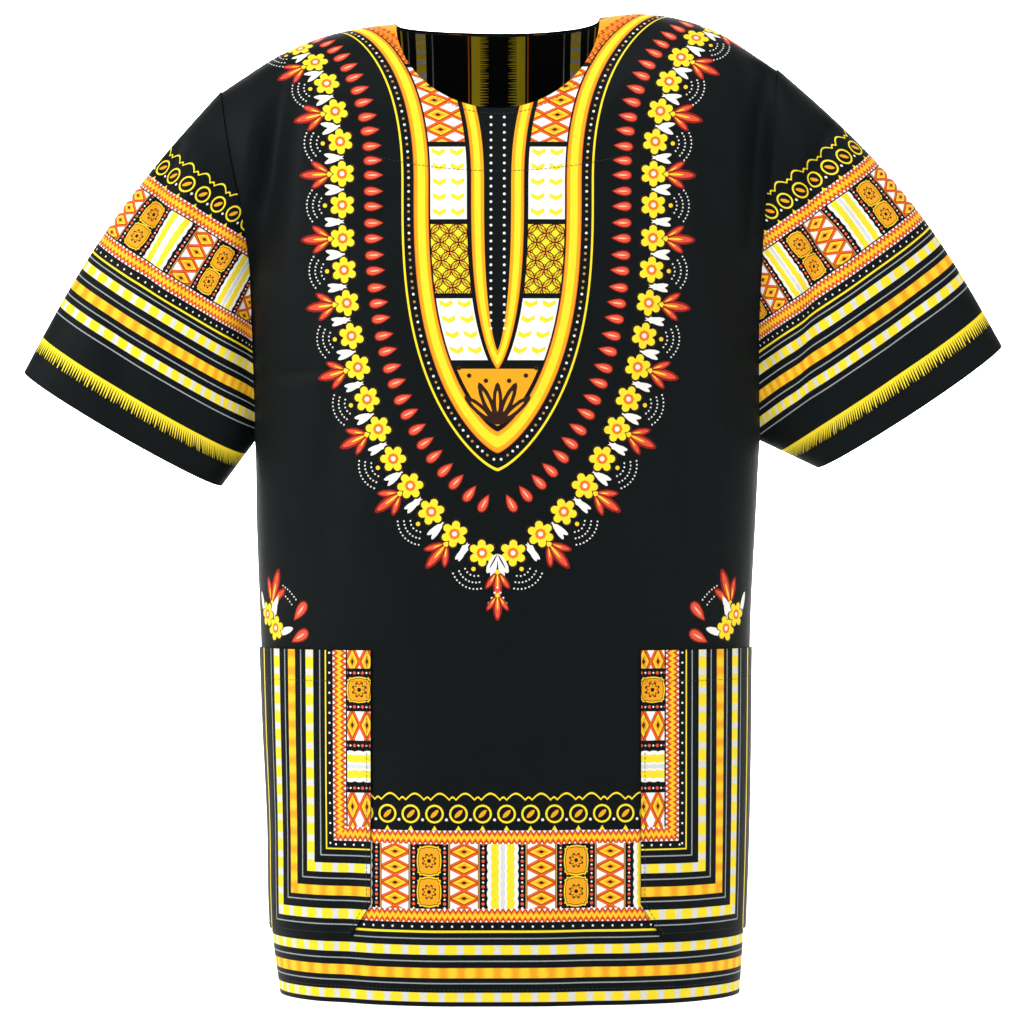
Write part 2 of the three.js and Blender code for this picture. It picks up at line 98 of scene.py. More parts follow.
@dataclass(frozen=True)
class Fold:
    """A soft trough through three places, or a ridge where the depth is negative."""

    face: Face
    x1: float
    z1: float
    x2: float
    z2: float
    x3: float
    z3: float
    depth: float
    width: float


BODY = (
    BodyLevel(0, 250, 254, 60, 90),
    BodyLevel(80, 240, 247, 77, 94),
    BodyLevel(160, 221, 231, 92, 98),
    BodyLevel(250, 204, 217, 102, 99),
    BodyLevel(335, 194.5, 209.5, 106, 96),
    BodyLevel(400, 193, 206, 107, 94),
    BodyLevel(480, 190, 202, 108, 95),
    BodyLevel(560, 187, 201, 109, 98),
    BodyLevel(640, 183, 199.5, 110, 101),
    BodyLevel(720, 181, 196.5, 110, 103),
    BodyLevel(776, 174, 193, 109, 103),
)
RIDGE = (
    RidgePoint(0, 0, 0),
    RidgePoint(80, -3, 2),
    RidgePoint(112, -7, 5),
    RidgePoint(144, -15, 1),
    RidgePoint(176, -29, -10),
    RidgePoint(206, -48, -29),
    RidgePoint(224, -60, -41),
)
ARMHOLE = (
    ArmholePoint(36, 224, 223),
    ArmholePoint(100, 214, 218),
    ArmholePoint(160, 203, 212),
    ArmholePoint(230, 195.5, 208),
    ArmholePoint(300, 193.5, 207.5),
    ArmholePoint(335, 194.5, 209.5),
)
FOLDS = (
    Fold(Face.FRONT, -170, -58, -177, -112, -186, -200, 17, 13),
    Fold(Face.FRONT, -192, -150, -196, -190, -198, -262, 12, 12),
    Fold(Face.FRONT, -198, -236, -200, -280, -196, -318, 8, 9),
    Fold(Face.FRONT, -256, -98, -266, -146, -273, -202, 11, 9),
    Fold(Face.FRONT, -240, -112, -250, -160, -256, -214, -6, 12),
    Fold(Face.FRONT, -302, -206, -300, -246, -292, -300, 4, 15),
    Fold(Face.FRONT, 210, -46, 206, -96, 200, -180, 14, 11),
    Fold(Face.FRONT, 168, -126, 184, -190, 202, -268, 9, 19),
    Fold(Face.FRONT, 260, -92, 247, -126, 252, -186, 9, 9),
    Fold(Face.FRONT, 252, -186, 245, -240, 242, -305, 9, 9),
    Fold(Face.FRONT, 276, -110, 268, -160, 272, -226, -5, 12),
    Fold(Face.FRONT, 330, -196, 322, -236, 306, -292, 4, 15),
    Fold(Face.FRONT, -192, -282, -168, -285, -146, -283, 3, 6),
    Fold(Face.FRONT, -112, -640, -116, -710, -119, -790, 6, 15),
    Fold(Face.FRONT, -58, -560, -54, -680, -50, -790, -3, 26),
    Fold(Face.FRONT, 64, -600, 70, -700, 73, -790, 4, 22),
    Fold(Face.FRONT, 150, -470, 146, -600, 141, -790, -3, 20),
    Fold(Face.FRONT, 120, -300, 132, -360, 134, -440, 3, 18),
    Fold(Face.FRONT, -126, -330, -134, -390, -132, -460, 3, 18),
    Fold(Face.BACK, -172, -60, -180, -120, -190, -208, 14, 14),
    Fold(Face.BACK, -196, -200, -199, -250, -197, -312, 9, 11),
    Fold(Face.BACK, 188, -60, 194, -130, 200, -214, 13, 13),
    Fold(Face.BACK, 204, -206, 208, -260, 208, -312, 9, 10),
    Fold(Face.BACK, -262, -120, -270, -170, -268, -240, 8, 11),
    Fold(Face.BACK, 286, -128, 276, -190, 270, -280, 8, 11),
    Fold(Face.BACK, -96, -70, -40, -92, 40, -90, 3, 14),
    Fold(Face.BACK, -150, -250, -118, -330, -104, -450, 6, 18),
    Fold(Face.BACK, 158, -244, 128, -340, 118, -470, 5, 19),
    Fold(Face.BACK, -46, -470, -52, -620, -58, -790, 6, 22),
    Fold(Face.BACK, 22, -520, 18, -650, 14, -790, -5, 20),
    Fold(Face.BACK, 84, -500, 90, -640, 98, -790, 7, 20),
    Fold(Face.BACK, -132, -540, -136, -660, -140, -790, 4, 18),
)


def smooth_step(share: Array) -> Array:
    """The share held between 0 and 1 and eased at both ends."""
    held = np.clip(share, 0.0, 1.0)
    return held * held * (3.0 - 2.0 * held)


def lengths_along(points: Array) -> Array:
    """Running length along a chain of points, starting at 0.

    Args:
        points: places in any number of dimensions, along the last axis but one.

    Returns:
        One length for each place.
    """
    steps = np.linalg.norm(np.diff(points, axis=-2), axis=-1)
    start = np.zeros(steps.shape[:-1] + (1,))
    return np.concatenate([start, np.cumsum(steps, axis=-1)], axis=-1)


def read_chain(wanted: Array, lengths: Array, points: Array) -> Array:
    """Places of a chain, read at the lengths wanted."""
    return np.stack([np.interp(wanted, lengths, column) for column in points.T], axis=-1)


def half_turn(count: int) -> Array:
    """Even angles from minus a right angle to a right angle."""
    return np.linspace(-math.pi / 2, math.pi / 2, count)


def spaced_along(points: Array, spacing: float) -> Array:
    """Places along a chain at an even spacing, its two ends among them.

    Args:
        points: the chain.
        spacing: the longest step wanted.

    Returns:
        The new chain.
    """
    lengths = lengths_along(points)
    count = max(1, math.ceil(lengths[-1] / spacing))
    return read_chain(np.linspace(0.0, lengths[-1], count + 1), lengths, points)


def read_past_ends(at: Array, places: Array, values: Array) -> Array:
    """Values between known places, run on in a straight line past both ends.

    A table read between its entries then stays true up to a cut edge that lies inside a cell.

    Args:
        at: the places wanted.
        places: the known places, rising.
        values: the value at each known place.

    Returns:
        The value at each place wanted.
    """
    last = (values[-1] - values[-4]) / (places[-1] - places[-4])
    first = (values[3] - values[0]) / (places[3] - places[0])
    over = np.clip(at - places[-1], 0, None) * last
    under = np.clip(places[0] - at, 0, None) * first
    return np.interp(at, places, values) + over - under


class SmoothCurve:
    """A smooth curve through one named column of a table."""

    def __init__(self, rows: Sequence[object], by: str, name: str) -> None:
        """Takes the table's rows, sorted by one column, and the column to pass through.

        Args:
            rows: the table's rows, sorted by one column.
            by: the name of that column.
            name: the name of the column to pass through.
        """
        self.keys = np.array([getattr(row, by) for row in rows], float)
        self.values = np.array([getattr(row, name) for row in rows], float)
        before = np.maximum(np.arange(len(rows)) - 1, 0)
        after = np.minimum(np.arange(len(rows)) + 1, len(rows) - 1)
        rise = self.values[after] - self.values[before]
        self.slopes = rise / (self.keys[after] - self.keys[before])

    def __call__(self, key: Array) -> Array:
        """The column's value at each key.

        Args:
            key: places in the sorted column.

        Returns:
            One value for each.
        """
        at = np.clip(key, self.keys[0], self.keys[-1])
        i = np.clip(np.searchsorted(self.keys, at) - 1, 0, len(self.keys) - 2)
        step = self.keys[i + 1] - self.keys[i]
        s = (at - self.keys[i]) / step
        bend = s * (1 - s) * ((1 - s) * self.slopes[i] - s * self.slopes[i + 1]) * step
        return self.values[i] + (self.values[i + 1] - self.values[i]) * smooth_step(s) + bend


@dataclass
class LookUp:
    """A table over two evenly spaced measures, read between its entries."""

    first: tuple[float, float]
    step: tuple[float, float]
    values: Array

    def __call__(self, a: Array, b: Array) -> Array:
        """The value at each pair of measures, held at the table's edges.

        Args:
            a: the first measures.
            b: the second measures.

        Returns:
            One value for each pair.
        """
        rows, columns = self.values.shape
        r = np.clip((a - self.first[0]) / self.step[0], 0, rows - 1.001)
        c = np.clip((b - self.first[1]) / self.step[1], 0, columns - 1.001)
        i = r.astype(int)
        j = c.astype(int)
        r = r - i
        c = c - j
        top = self.values[i, j] * (1 - c) + self.values[i, j + 1] * c
        low = self.values[i + 1, j] * (1 - c) + self.values[i + 1, j + 1] * c
        return top * (1 - r) + low * r


@dataclass
class TunicForm:
    """The surface on which the cloth lies, worked out from the tables above."""

    section_power: float = 2.3
    underarm_drop: float = 335.0
    hem_drop: float = 776.0
    seam_lap: float = 0.2  # sewn seams are closed, so the panels pass each other by this much
    neck_half_width: float = 81.0
    neck_drop: dict[Face, float] = field(default_factory=lambda: {Face.FRONT: 78.0, Face.BACK: 6.0})
    rounding: dict[Face, float] = field(default_factory=lambda: {Face.FRONT: 80.0, Face.BACK: 60.0})
    fold_fade: float = 24.0
    crease_count: int = 34
    creases: dict[Face, list[Fold]] = field(default_factory=dict)

    def __post_init__(self) -> None:
        """Makes the smooth curves and the small creases."""
        names = ("left", "right", "front", "back")
        self.body = {name: SmoothCurve(BODY, "drop", name) for name in names}
        self.ridges = {name: SmoothCurve(RIDGE, "out", name) for name in names[:2]}
        self.armholes = {name: SmoothCurve(ARMHOLE, "drop", name) for name in names[:2]}
        draw = np.random.default_rng(SEED)
        for face in Face:
            self.creases[face] = [fold for fold in FOLDS if fold.face is face]
            self.creases[face] += [self.small_crease(face, draw) for _ in range(self.crease_count)]

    def small_crease(self, face: Face, draw: np.random.Generator) -> Fold:
        """A shallow crease at a place of its own, mostly running down the cloth.

        Args:
            face: the side it lies on.
            draw: the seeded numbers it is drawn from.

        Returns:
            The crease.
        """
        x = draw.uniform(-185, 185)
        z = draw.uniform(-740, -60)
        lean = draw.normal(0.0, 0.45)
        reach = draw.uniform(22, 75)
        bow = draw.uniform(-0.18, 0.18) * reach
        dx = math.sin(lean) * reach
        dz = math.cos(lean) * reach
        depth = draw.uniform(0.5, 1.5) * draw.choice([-1, 1])
        width = draw.uniform(6, 14)
        return Fold(face, x - dx, z + dz, x + bow, z, x + dx, z - dz, depth, width)

    def ridge(self, x: Array) -> Array:
        """Height of the shoulder ridge over a place x."""
        out = np.abs(x)
        return np.where(x < 0, self.ridges["left"](out), self.ridges["right"](out))

    def half_width(self, x: Array, z: Array) -> Array:
        """Half width of the body at height z, on the side that x is on."""
        return np.where(x < 0, self.body["left"](-z), self.body["right"](-z))

    def half_depth(self, face: Face, z: Array) -> Array:
        """Half depth of the body at height z."""
        return self.body["front" if face is Face.FRONT else "back"](-z)

    def armhole(self, side: int, z: Array) -> Array:
        """Distance of the armhole seam from the middle at height z."""
        return self.armholes["left" if side < 0 else "right"](-z)

    def shoulder_tip(self, side: int) -> float:
        """Where the shoulder ridge meets the armhole, as a distance from the middle.

        Args:
            side: -1 for the left and 1 for the right.

        Returns:
            The distance.
        """
        x = np.array(224.0)
        for _ in range(8):
            x = self.armhole(side, self.ridge(side * x))
        return float(x)

    def neckline(self, face: Face, x: Array) -> Array:
        """Height of the neckline's round edge over a place x.

        Args:
            face: the side of the tunic.
            x: places from the middle.

        Returns:
            The heights.
        """
        corner = self.ridge(np.sign(x) * self.neck_half_width)
        round_share = np.sqrt(np.clip(1 - (x / self.neck_half_width) ** 2, 0, 1))
        return corner - (self.neck_drop[face] + corner) * round_share

    def section(self, share: Array) -> Array:
        """Depth of a level section at a share of its half width."""
        held = np.clip(share, 0, 1)
        return (1 - held**self.section_power) ** (1 / self.section_power)

    def turn_height(self, face: Face, x: Array, turn: Array) -> Array:
        """Height at which the cloth has turned down from the ridge by an angle.

        Past a right angle the cloth hangs straight, and the angle goes on as a length.

        Args:
            face: the side of the tunic.
            x: places from the middle.
            turn: angles from 0, on the ridge.

        Returns:
            The heights.
        """
        reach = self.rounding[face]
        quarter = np.minimum(turn, math.pi / 2)
        hanging = np.maximum(turn - math.pi / 2, 0)
        return self.ridge(x) - reach * (1 - np.cos(quarter)) - reach * hanging

    def turn_at(self, face: Face, x: Array, z: Array) -> Array:
        """The angle that turn_height takes, from a height."""
        below = np.maximum(self.ridge(x) - z, 0) / self.rounding[face]
        return np.arccos(1 - np.minimum(below, 1)) + np.maximum(below - 1, 0)

    def surface(self, face: Face, x: Array, turn: Array) -> Array:
        """Plain points of the body's surface, before any fold.

        Args:
            face: the side of the tunic.
            x: places from the middle.
            turn: how far the cloth has turned down from the ridge there.

        Returns:
            The points, one row each.
        """
        z = self.turn_height(face, x, turn)
        share = np.abs(x) / self.half_width(x, z)
        turned = np.sin(np.minimum(turn, math.pi / 2))
        depth = self.half_depth(face, z) * self.section(share) * turned - self.seam_lap / 2
        return np.stack([x, face.value * depth, z], axis=-1)

    def folded(self, points: Array) -> Array:
        """Points of plain cloth with the folds and creases pressed into them.

        Args:
            points: points of plain cloth, one row each.

        Returns:
            The same points, pushed in or out.
        """
        x, y, z = points.T
        push = np.zeros(len(points))
        for face in Face:
            here = (y < 0) == (face is Face.FRONT)
            push[here] = face.value * self.fold_depth(face, x[here], z[here])
        pressed = points.copy()
        pressed[:, 1] -= push * smooth_step(np.abs(y) / self.fold_fade)
        return pressed

    def fold_depth(self, face: Face, x: Array, z: Array) -> Array:
        """How far the folds and creases push the cloth in.

        Args:
            face: the side of the tunic.
            x: places from the middle.
            z: heights.

        Returns:
            The depths.
        """
        total = np.zeros_like(x)
        for fold in self.creases[face]:
            nearest = np.full_like(x, np.inf)
            along = np.zeros_like(x)
            legs = (
                (fold.x1, fold.z1, fold.x2, fold.z2, 0.0),
                (fold.x2, fold.z2, fold.x3, fold.z3, 0.5),
            )
            for ax, az, bx, bz, start in legs:
                dx = bx - ax
                dz = bz - az
                share = np.clip(((x - ax) * dx + (z - az) * dz) / (dx * dx + dz * dz), 0, 1)
                distance = np.hypot(x - ax - dx * share, z - az - dz * share)
                closer = distance < nearest
                nearest = np.where(closer, distance, nearest)
                along = np.where(closer, start + share / 2, along)
            swell = 0.55 + 0.45 * np.sin(math.pi * along)
            total += fold.depth * swell * np.exp(-((nearest / fold.width) ** 2))
        return total


# ---------------------------------------------------------------- flat cloth laid on the form


class Lay:
    """How a flat piece of cloth lies on the form."""

    probe = 0.6  # distance over which directions are measured

    def points(self, flat: Array) -> Array:
        """The places in space of flat places."""
        raise NotImplementedError

    def normals(self, flat: Array) -> Array:
        """Outward directions at flat places, measured on the laid cloth.

        Args:
            flat: flat places, one (across, down) row each.

        Returns:
            One direction of length 1 for each.
        """
        across = self.points(flat + [self.probe, 0]) - self.points(flat - [self.probe, 0])
        down = self.points(flat + [0, self.probe]) - self.points(flat - [0, self.probe])
        direction = np.cross(down, across) * self.sense()
        return direction / np.maximum(np.linalg.norm(direction, axis=1, keepdims=True), 1e-9)

    def sense(self) -> int:
        """1 if across, then down, goes clockwise as seen from outside, else -1."""
        return 1


class PanelLay(Lay):
    """The lay of a front or back panel: across from its middle, and down from the shoulder."""

    hang_drop = 160.0  # from here on, down is the drop itself

    def __init__(self, form: TunicForm, face: Face) -> None:
        """Works out the tables that lead from flat places to the form.

        Args:
            form: the tunic's form.
            face: the side of the tunic.
        """
        self.form = form
        self.face = face
        heights = np.arange(-800.0, 24.0, 4.0)
        across = np.arange(-330.0, 331.0, 1.0)
        angles = half_turn(361)
        rows = []
        for z in heights:
            level = np.full_like(angles, z)
            x = form.half_width(angles, level) * np.sin(angles)
            y = form.half_depth(face, level) * form.section(np.abs(np.sin(angles)))
            lengths = lengths_along(np.stack([x, y], axis=1))
            rows.append(read_past_ends(across, lengths - lengths[180], angles))
        self.angle = LookUp((heights[0], across[0]), (4.0, 1.0), np.array(rows))
        outs = np.arange(-264.0, 265.0, 2.0)
        downs = np.arange(-80.0, self.hang_drop + 1, 2.0)
        rows = []
        for x in outs:
            last = float(form.turn_at(face, np.array(x), np.array(-self.hang_drop)))
            turns = np.linspace(0, last, 161)
            chain = form.surface(face, np.full_like(turns, x), turns)
            lengths = lengths_along(chain)
            rows.append(read_past_ends(downs, self.hang_drop - lengths[-1] + lengths, turns))
        self.turn = LookUp((outs[0], downs[0]), (2.0, 2.0), np.array(rows))

    def sense(self) -> int:
        """The back is seen from the other side."""
        return -self.face.value

    def points(self, flat: Array) -> Array:
        """The places in space of flat places.

        Args:
            flat: flat places, one (across, down) row each.

        Returns:
            The places, one row each.
        """
        across, down = flat.T
        x = across.copy()
        for _ in range(9):
            turn = np.clip(self.turn(x, down), 0, None)
            hanging = self.form.turn_at(self.face, x, -down)
            turn = np.where(down > self.hang_drop, hanging, turn)
            z = self.form.turn_height(self.face, x, turn)
            angle = np.clip(self.angle(z, across), -math.pi / 2, math.pi / 2)
            x = self.form.half_width(across, z) * np.sin(angle)
        return self.form.folded(self.form.surface(self.face, x, turn))

    def flat_of(self, x: Array, z: Array) -> Array:
        """The flat places of points on the plain form.

        Args:
            x: places from the middle.
            z: heights.

        Returns:
            One (across, down) row each.
        """
        form = self.form
        share = np.linspace(0, 1, 160)[None, :]
        wide = form.half_width(x, z)
        angles = np.arcsin(np.clip(np.abs(x) / wide, 0, 1))[:, None] * share
        round_y = form.half_depth(self.face, z)[:, None] * form.section(np.sin(angles))
        section = np.stack([wide[:, None] * np.sin(angles), round_y], axis=-1)
        across = np.sign(x) * lengths_along(section)[:, -1]
        first = form.turn_at(self.face, x, z)[:, None]
        last = form.turn_at(self.face, x, np.full_like(x, -self.hang_drop))[:, None]
        turns = first + (last - first) * share
        columns = np.repeat(x[:, None], turns.shape[1], axis=1)
        risen = lengths_along(form.surface(self.face, columns, turns))[:, -1]
        down = np.where(z < -self.hang_drop, -z, self.hang_drop - risen)
        return np.stack([across, down], axis=1)

    def outline(self) -> Array:
        """The panel's cut edge, once round from the left end of the neckline.

        Returns:
            Flat places, one row each.
        """
        form = self.form
        neck_x = form.neck_half_width * np.sin(half_turn(61))
        runs = [self.flat_of(neck_x, form.neckline(self.face, neck_x))]
        for side in (1, -1):
            tip = form.shoulder_tip(side)
            shoulder_x = side * np.linspace(form.neck_half_width, tip, 40)
            shoulder = self.flat_of(shoulder_x, form.ridge(shoulder_x))
            arm_z = np.linspace(float(form.ridge(np.array(side * tip))), -form.underarm_drop, 50)
            arm = self.flat_of(side * form.armhole(side, arm_z), arm_z)
            side_z = np.linspace(-form.underarm_drop, -form.hem_drop, 60)
            seam = self.flat_of(form.half_width(np.full(60, side), side_z) * side, side_z)
            run = np.concatenate([shoulder[1:], arm[1:], seam[1:]])
            runs.append(run if side > 0 else run[::-1])
        return np.concatenate([*runs, runs[0][:1]])


@dataclass(frozen=True)
class SleeveCut:
    """The two corners of a sleeve's cuff, and how far its cloth swells over the arm."""

    side: int
    top_x: float
    top_z: float
    low_x: float
    low_z: float
    swell: float


class SleeveLay(Lay):
    """The lay of a sleeve: across from its top line, + to the front, and down to the cuff.

    Down is counted as minus the distance up from the cuff, so the cuff is at 0.
    """

    cuff_half_depth = 34.0
    cuff_bow = 5.0
    fullness = 0.22
    halvings = 34

    def __init__(self, form: TunicForm, cut: SleeveCut) -> None:
        """Works out the armhole and cuff rings and the lengths between them.

        Args:
            form: the tunic's form.
            cut: the sleeve's cuff and swell.
        """
        self.form = form
        self.cut = cut
        self.shares = np.linspace(0, 1, 81)
        self.rings = {face: (self.armhole_half(face), self.cuff_half(face)) for face in Face}
        low = self.rings[Face.FRONT][1][0] - self.rings[Face.FRONT][0][0]
        self.outwards = np.array([-low[2] * cut.side, 0, abs(low[0])]) / np.hypot(low[0], low[2])
        self.reach = {}
        self.round = {}
        for face in Face:
            grid = self.plain(face, *np.meshgrid(self.shares, self.shares, indexing="ij"))
            self.reach[face] = lengths_along(grid)[:, -1]
            self.round[face] = lengths_along(grid.swapaxes(0, 1))[:, -1]

    def sense(self) -> int:
        """The two sleeves mirror each other."""
        return self.cut.side

    def even(self, chain: Array) -> Array:
        """A chain's points moved along it to an even spacing."""
        lengths = lengths_along(chain)
        return read_chain(self.shares * lengths[-1], lengths, chain)

    def armhole_half(self, face: Face) -> Array:
        """Half of the armhole, from the shoulder round one side to the underarm.

        Args:
            face: the side of the tunic.

        Returns:
            Evenly spaced points.
        """
        side = self.cut.side
        tip = side * self.form.shoulder_tip(side)
        first = float(self.form.ridge(np.array(tip)))
        top = float(self.form.turn_at(face, np.array(tip), np.array(first)))
        share = np.linspace(0, 1, 400) ** 2
        z = first + (-self.form.underarm_drop - first) * share
        x = side * self.form.armhole(side, z)
        turn = np.maximum(self.form.turn_at(face, x, z), top)
        chain = self.form.surface(face, x, turn)
        chain[0, 1] = 0.0
        chain[-1, 1] = 0.0
        return self.even(chain)

    def cuff_half(self, face: Face) -> Array:
        """Half of the cuff's ring, from its top corner round one side to the low corner.

        Args:
            face: the side of the tunic.

        Returns:
            Evenly spaced points.
        """
        cut = self.cut
        centre = np.array([(cut.top_x + cut.low_x) / 2, 0, (cut.top_z + cut.low_z) / 2])
        reach = np.array([cut.top_x, 0, cut.top_z]) - centre
        down = np.array([cut.side * abs(reach[2]), 0, -abs(reach[0])])
        down = down / np.linalg.norm(down)
        angle = np.linspace(0, math.pi, 240)[:, None]
        chain = centre + reach * np.cos(angle) + down * self.cuff_bow * np.sin(angle)
        chain[:, 1] = face.value * self.cuff_half_depth * np.sin(angle[:, 0])
        return self.even(chain)

    def plain(self, face: Face, around: Array, share: Array) -> Array:
        """Plain points of the sleeve.

        Args:
            face: the side of the tunic.
            around: 0 at the top line and 1 at the underarm.
            share: 0 at the armhole and 1 at the cuff.

        Returns:
            The points.
        """
        arm, cuff = (read_chain(around, self.shares, ring) for ring in self.rings[face])
        points = arm + (cuff - arm) * share[..., None]
        swell = np.sin(math.pi * np.clip(share, 0, 1))
        points[..., 1] *= 1 + self.fullness * swell
        over_top = ((1 + np.cos(math.pi * around)) / 2) ** 2
        return points + self.outwards * (self.cut.swell * swell * over_top)[..., None]

    def points(self, flat: Array) -> Array:
        """The places in space of flat places.

        Args:
            flat: flat places, one (across, down) row each.

        Returns:
            The places, one row each.
        """
        placed = np.zeros((len(flat), 3))
        for face in Face:
            here = (flat[:, 0] >= 0) == (face is Face.FRONT)
            across = np.abs(flat[here, 0])
            up = -flat[here, 1]
            low = np.zeros_like(across)
            high = np.ones_like(across)
            for _ in range(self.halvings):
                middle = (low + high) / 2
                share = 1 - up / np.interp(middle, self.shares, self.reach[face])
                short = middle * np.interp(share, self.shares, self.round[face]) < across
                low = np.where(short, middle, low)
                high = np.where(short, high, middle)
            share = 1 - up / np.interp(low, self.shares, self.reach[face])
            placed[here] = self.plain(face, low, np.clip(share, -0.05, 1.05))
        return self.form.folded(placed)

    def outline(self) -> Array:
        """The sleeve's cut edge: the armhole curve, the underarm seams and the cuff.

        Returns:
            Flat places, one row each.
        """
        runs = []
        for face in (Face.FRONT, Face.BACK):
            sign = -face.value
            arm = np.stack([sign * self.shares * self.round[face][0], -self.reach[face]], axis=1)
            share = self.shares[1:]
            seam = np.stack(
                [
                    sign * np.interp(share, self.shares, self.round[face]),
                    -(1 - share) * self.reach[face][-1],
                ],
                axis=1,
            )
            runs.append(np.concatenate([arm, seam]))
        front, back = runs
        return np.concatenate([front, back[::-1]])


# ---------------------------------------------------------------- the print


class Ink(Enum):
    """The flat colours and the small repeats that the cloth is printed with."""

    GROUND = "ground"
    LEMON = "lemon"
    GOLD = "gold"
    AMBER = "amber"
    ORANGE = "orange"
    CORAL = "coral"
    DEEP_RED = "deep red"
    BLUSH = "blush"
    WHITE = "white"
    BROWN = "brown"
    TAN = "tan"
    ZIGZAG = "zigzag band"
    HATCH = "hatched band"
    FINE_DOTS = "fine dotted line"
    DOT_ROW = "row of dots"
    LOZENGE_ROW = "row of dots and lozenges"
    IKAT = "yellow ikat band"
    ORANGE_IKAT = "orange ikat band"
    DIAMONDS = "diamond column"
    CHEVRONS = "chevron column"
    FRINGE = "fringe strokes"
    LATTICE = "ring lattice"
    SCALLOPED = "scalloped ikat box"


BandFrame = Callable[[Array], Array]


@dataclass
class Shape:
    """A printed shape: its outline, its ink and, for a repeat, the frame that it runs in.

    The frame gives, for flat places, the distance along the band and the distance across it.
    """

    outline: Array
    ink: Ink
    band: BandFrame | None = None


def turned(points: Array, angle: float) -> Array:
    """Points turned about (0, 0)."""
    c, s = math.cos(angle), math.sin(angle)
    return points @ np.array([[c, s], [-s, c]])


def ahead(at: Sequence[float], reach: float, angle: float, aside: float = 0.0) -> Array:
    """The place that lies a reach ahead of another at an angle, and some way aside."""
    return np.asarray(at) + turned(np.array([[reach, aside]]), angle)[0]


def both_sides(at: Array, angle: float) -> tuple[tuple[Array, float], ...]:
    """A place and an angle, first mirrored to the left and then as they are."""
    return ((at * [-1, 1], math.pi - angle), (at, angle))


def leaf(length: float, width: float, steps: int = 7) -> Array:
    """A pointed leaf that starts at (0, 0) and runs across.

    Args:
        length: its length from point to point.
        width: its width in the middle.
        steps: how many places each edge has.

    Returns:
        The outline.
    """
    t = np.linspace(0, math.pi, steps)
    along = length * (1 - np.cos(t)) / 2
    side = width / 2 * np.sin(t) ** 1.2
    return np.concatenate(
        [np.stack([along, side], axis=1), np.stack([along, -side], axis=1)[-2:0:-1]]
    )


def drop(length: float, width: float) -> Array:
    """A tear drop whose point is at (0, 0) and whose round end lies across from it.

    Args:
        length: its length.
        width: its width, roughly.

    Returns:
        The outline.
    """
    t = np.linspace(0, 2 * math.pi, 15)[:-1]
    along = length * (1 - np.cos(t)) / 2
    side = width / 1.7 * np.sin(t) * np.sin(t / 2)
    return np.stack([along, side], axis=1)


def blossom(radius: float, petals: int, steps: int = 5) -> Array:
    """A flower's outline of round petals.

    Args:
        radius: how far the petals reach.
        petals: how many petals it has.
        steps: how many places each petal has.

    Returns:
        The outline.
    """
    t = np.linspace(0, 2 * math.pi, petals * steps + 1)[:-1]
    r = radius * (0.62 + 0.38 * np.abs(np.sin(petals * t / 2)) ** 0.7)
    return np.stack([r * np.cos(t), r * np.sin(t)], axis=1)


def disc(radius: float, sides: int = 8) -> Array:
    """A round dot."""
    t = np.linspace(0, 2 * math.pi, sides + 1)[:-1]
    return radius * np.stack([np.cos(t), np.sin(t)], axis=1)


@dataclass(frozen=True)
class Band:
    """A stripe of the print between two distances from where its group starts."""

    start: float
    end: float
    ink: Ink


def diamond_group(start: float) -> tuple[Band, ...]:
    """A column of diamonds between two thin lines and two rows of lozenges.

    Args:
        start: where the group starts.

    Returns:
        Its stripes.
    """
    return (
        Band(start, start + 3.8, Ink.LOZENGE_ROW),
        Band(start + 4.6, start + 5.6, Ink.TAN),
        Band(start + 6.0, start + 27.4, Ink.DIAMONDS),
        Band(start + 27.8, start + 28.8, Ink.TAN),
        Band(start + 29.8, start + 33.6, Ink.LOZENGE_ROW),
    )


# Stripes of the cloth's border, counted outwards from the inner edge of its zigzag.
BORDER = (
    Band(0, 11.0, Ink.ZIGZAG),
    Band(12.8, 15.2, Ink.DOT_ROW),
    Band(16.8, 18.0, Ink.LEMON),
    Band(22.0, 23.2, Ink.FINE_DOTS),
    Band(28.6, 35.8, Ink.IKAT),
    Band(40.0, 41.2, Ink.FINE_DOTS),
    Band(46.4, 54.0, Ink.ORANGE_IKAT),
    Band(57.2, 58.4, Ink.FINE_DOTS),
    Band(64.2, 72.0, Ink.IKAT),
    Band(75.8, 77.0, Ink.FINE_DOTS),
    Band(89.0, 91.2, Ink.LEMON),
)
# Stripes at the hem, by their drop at the middle of the front.
HEM_STRIPES = (
    Band(728.4, 735.8, Ink.IKAT),
    Band(740.2, 741.4, Ink.FINE_DOTS),
    Band(746.0, 754.0, Ink.ORANGE_IKAT),
    Band(757.5, 758.7, Ink.FINE_DOTS),
    Band(765.2, 772.4, Ink.IKAT),
)
HEM_PANEL = (
    Band(639.8, 650.2, Ink.ZIGZAG),
    Band(700.2, 710.6, Ink.ZIGZAG),
    Band(712.8, 715.4, Ink.DOT_ROW),
    Band(717.0, 718.8, Ink.LEMON),
    Band(722.6, 723.8, Ink.FINE_DOTS),
)
BOX_TOP = 650.2
BOX_LOW = 700.2
BOX_MIDDLE = 4.0  # the print lies a little to the right of the front's middle
PANEL_MIDDLE = 7.0
HEM_REACH = 290.0
CARTOUCHE_COLUMN = 57.0
# Columns of the box row, outwards from its middle.
BOX_COLUMNS = (
    *diamond_group(13.2),
    *diamond_group(67.2),
    Band(102.0, 126.0, Ink.SCALLOPED),
)
# Columns of one unit of a box row that repeats.
BOX_UNIT = 84.8
BOX_UNIT_CARTOUCHE = 43.8
BOX_UNIT_COLUMNS = (
    *diamond_group(0.0),
    Band(54.0, 57.8, Ink.LOZENGE_ROW),
    Band(58.6, 83.6, Ink.SCALLOPED),
)
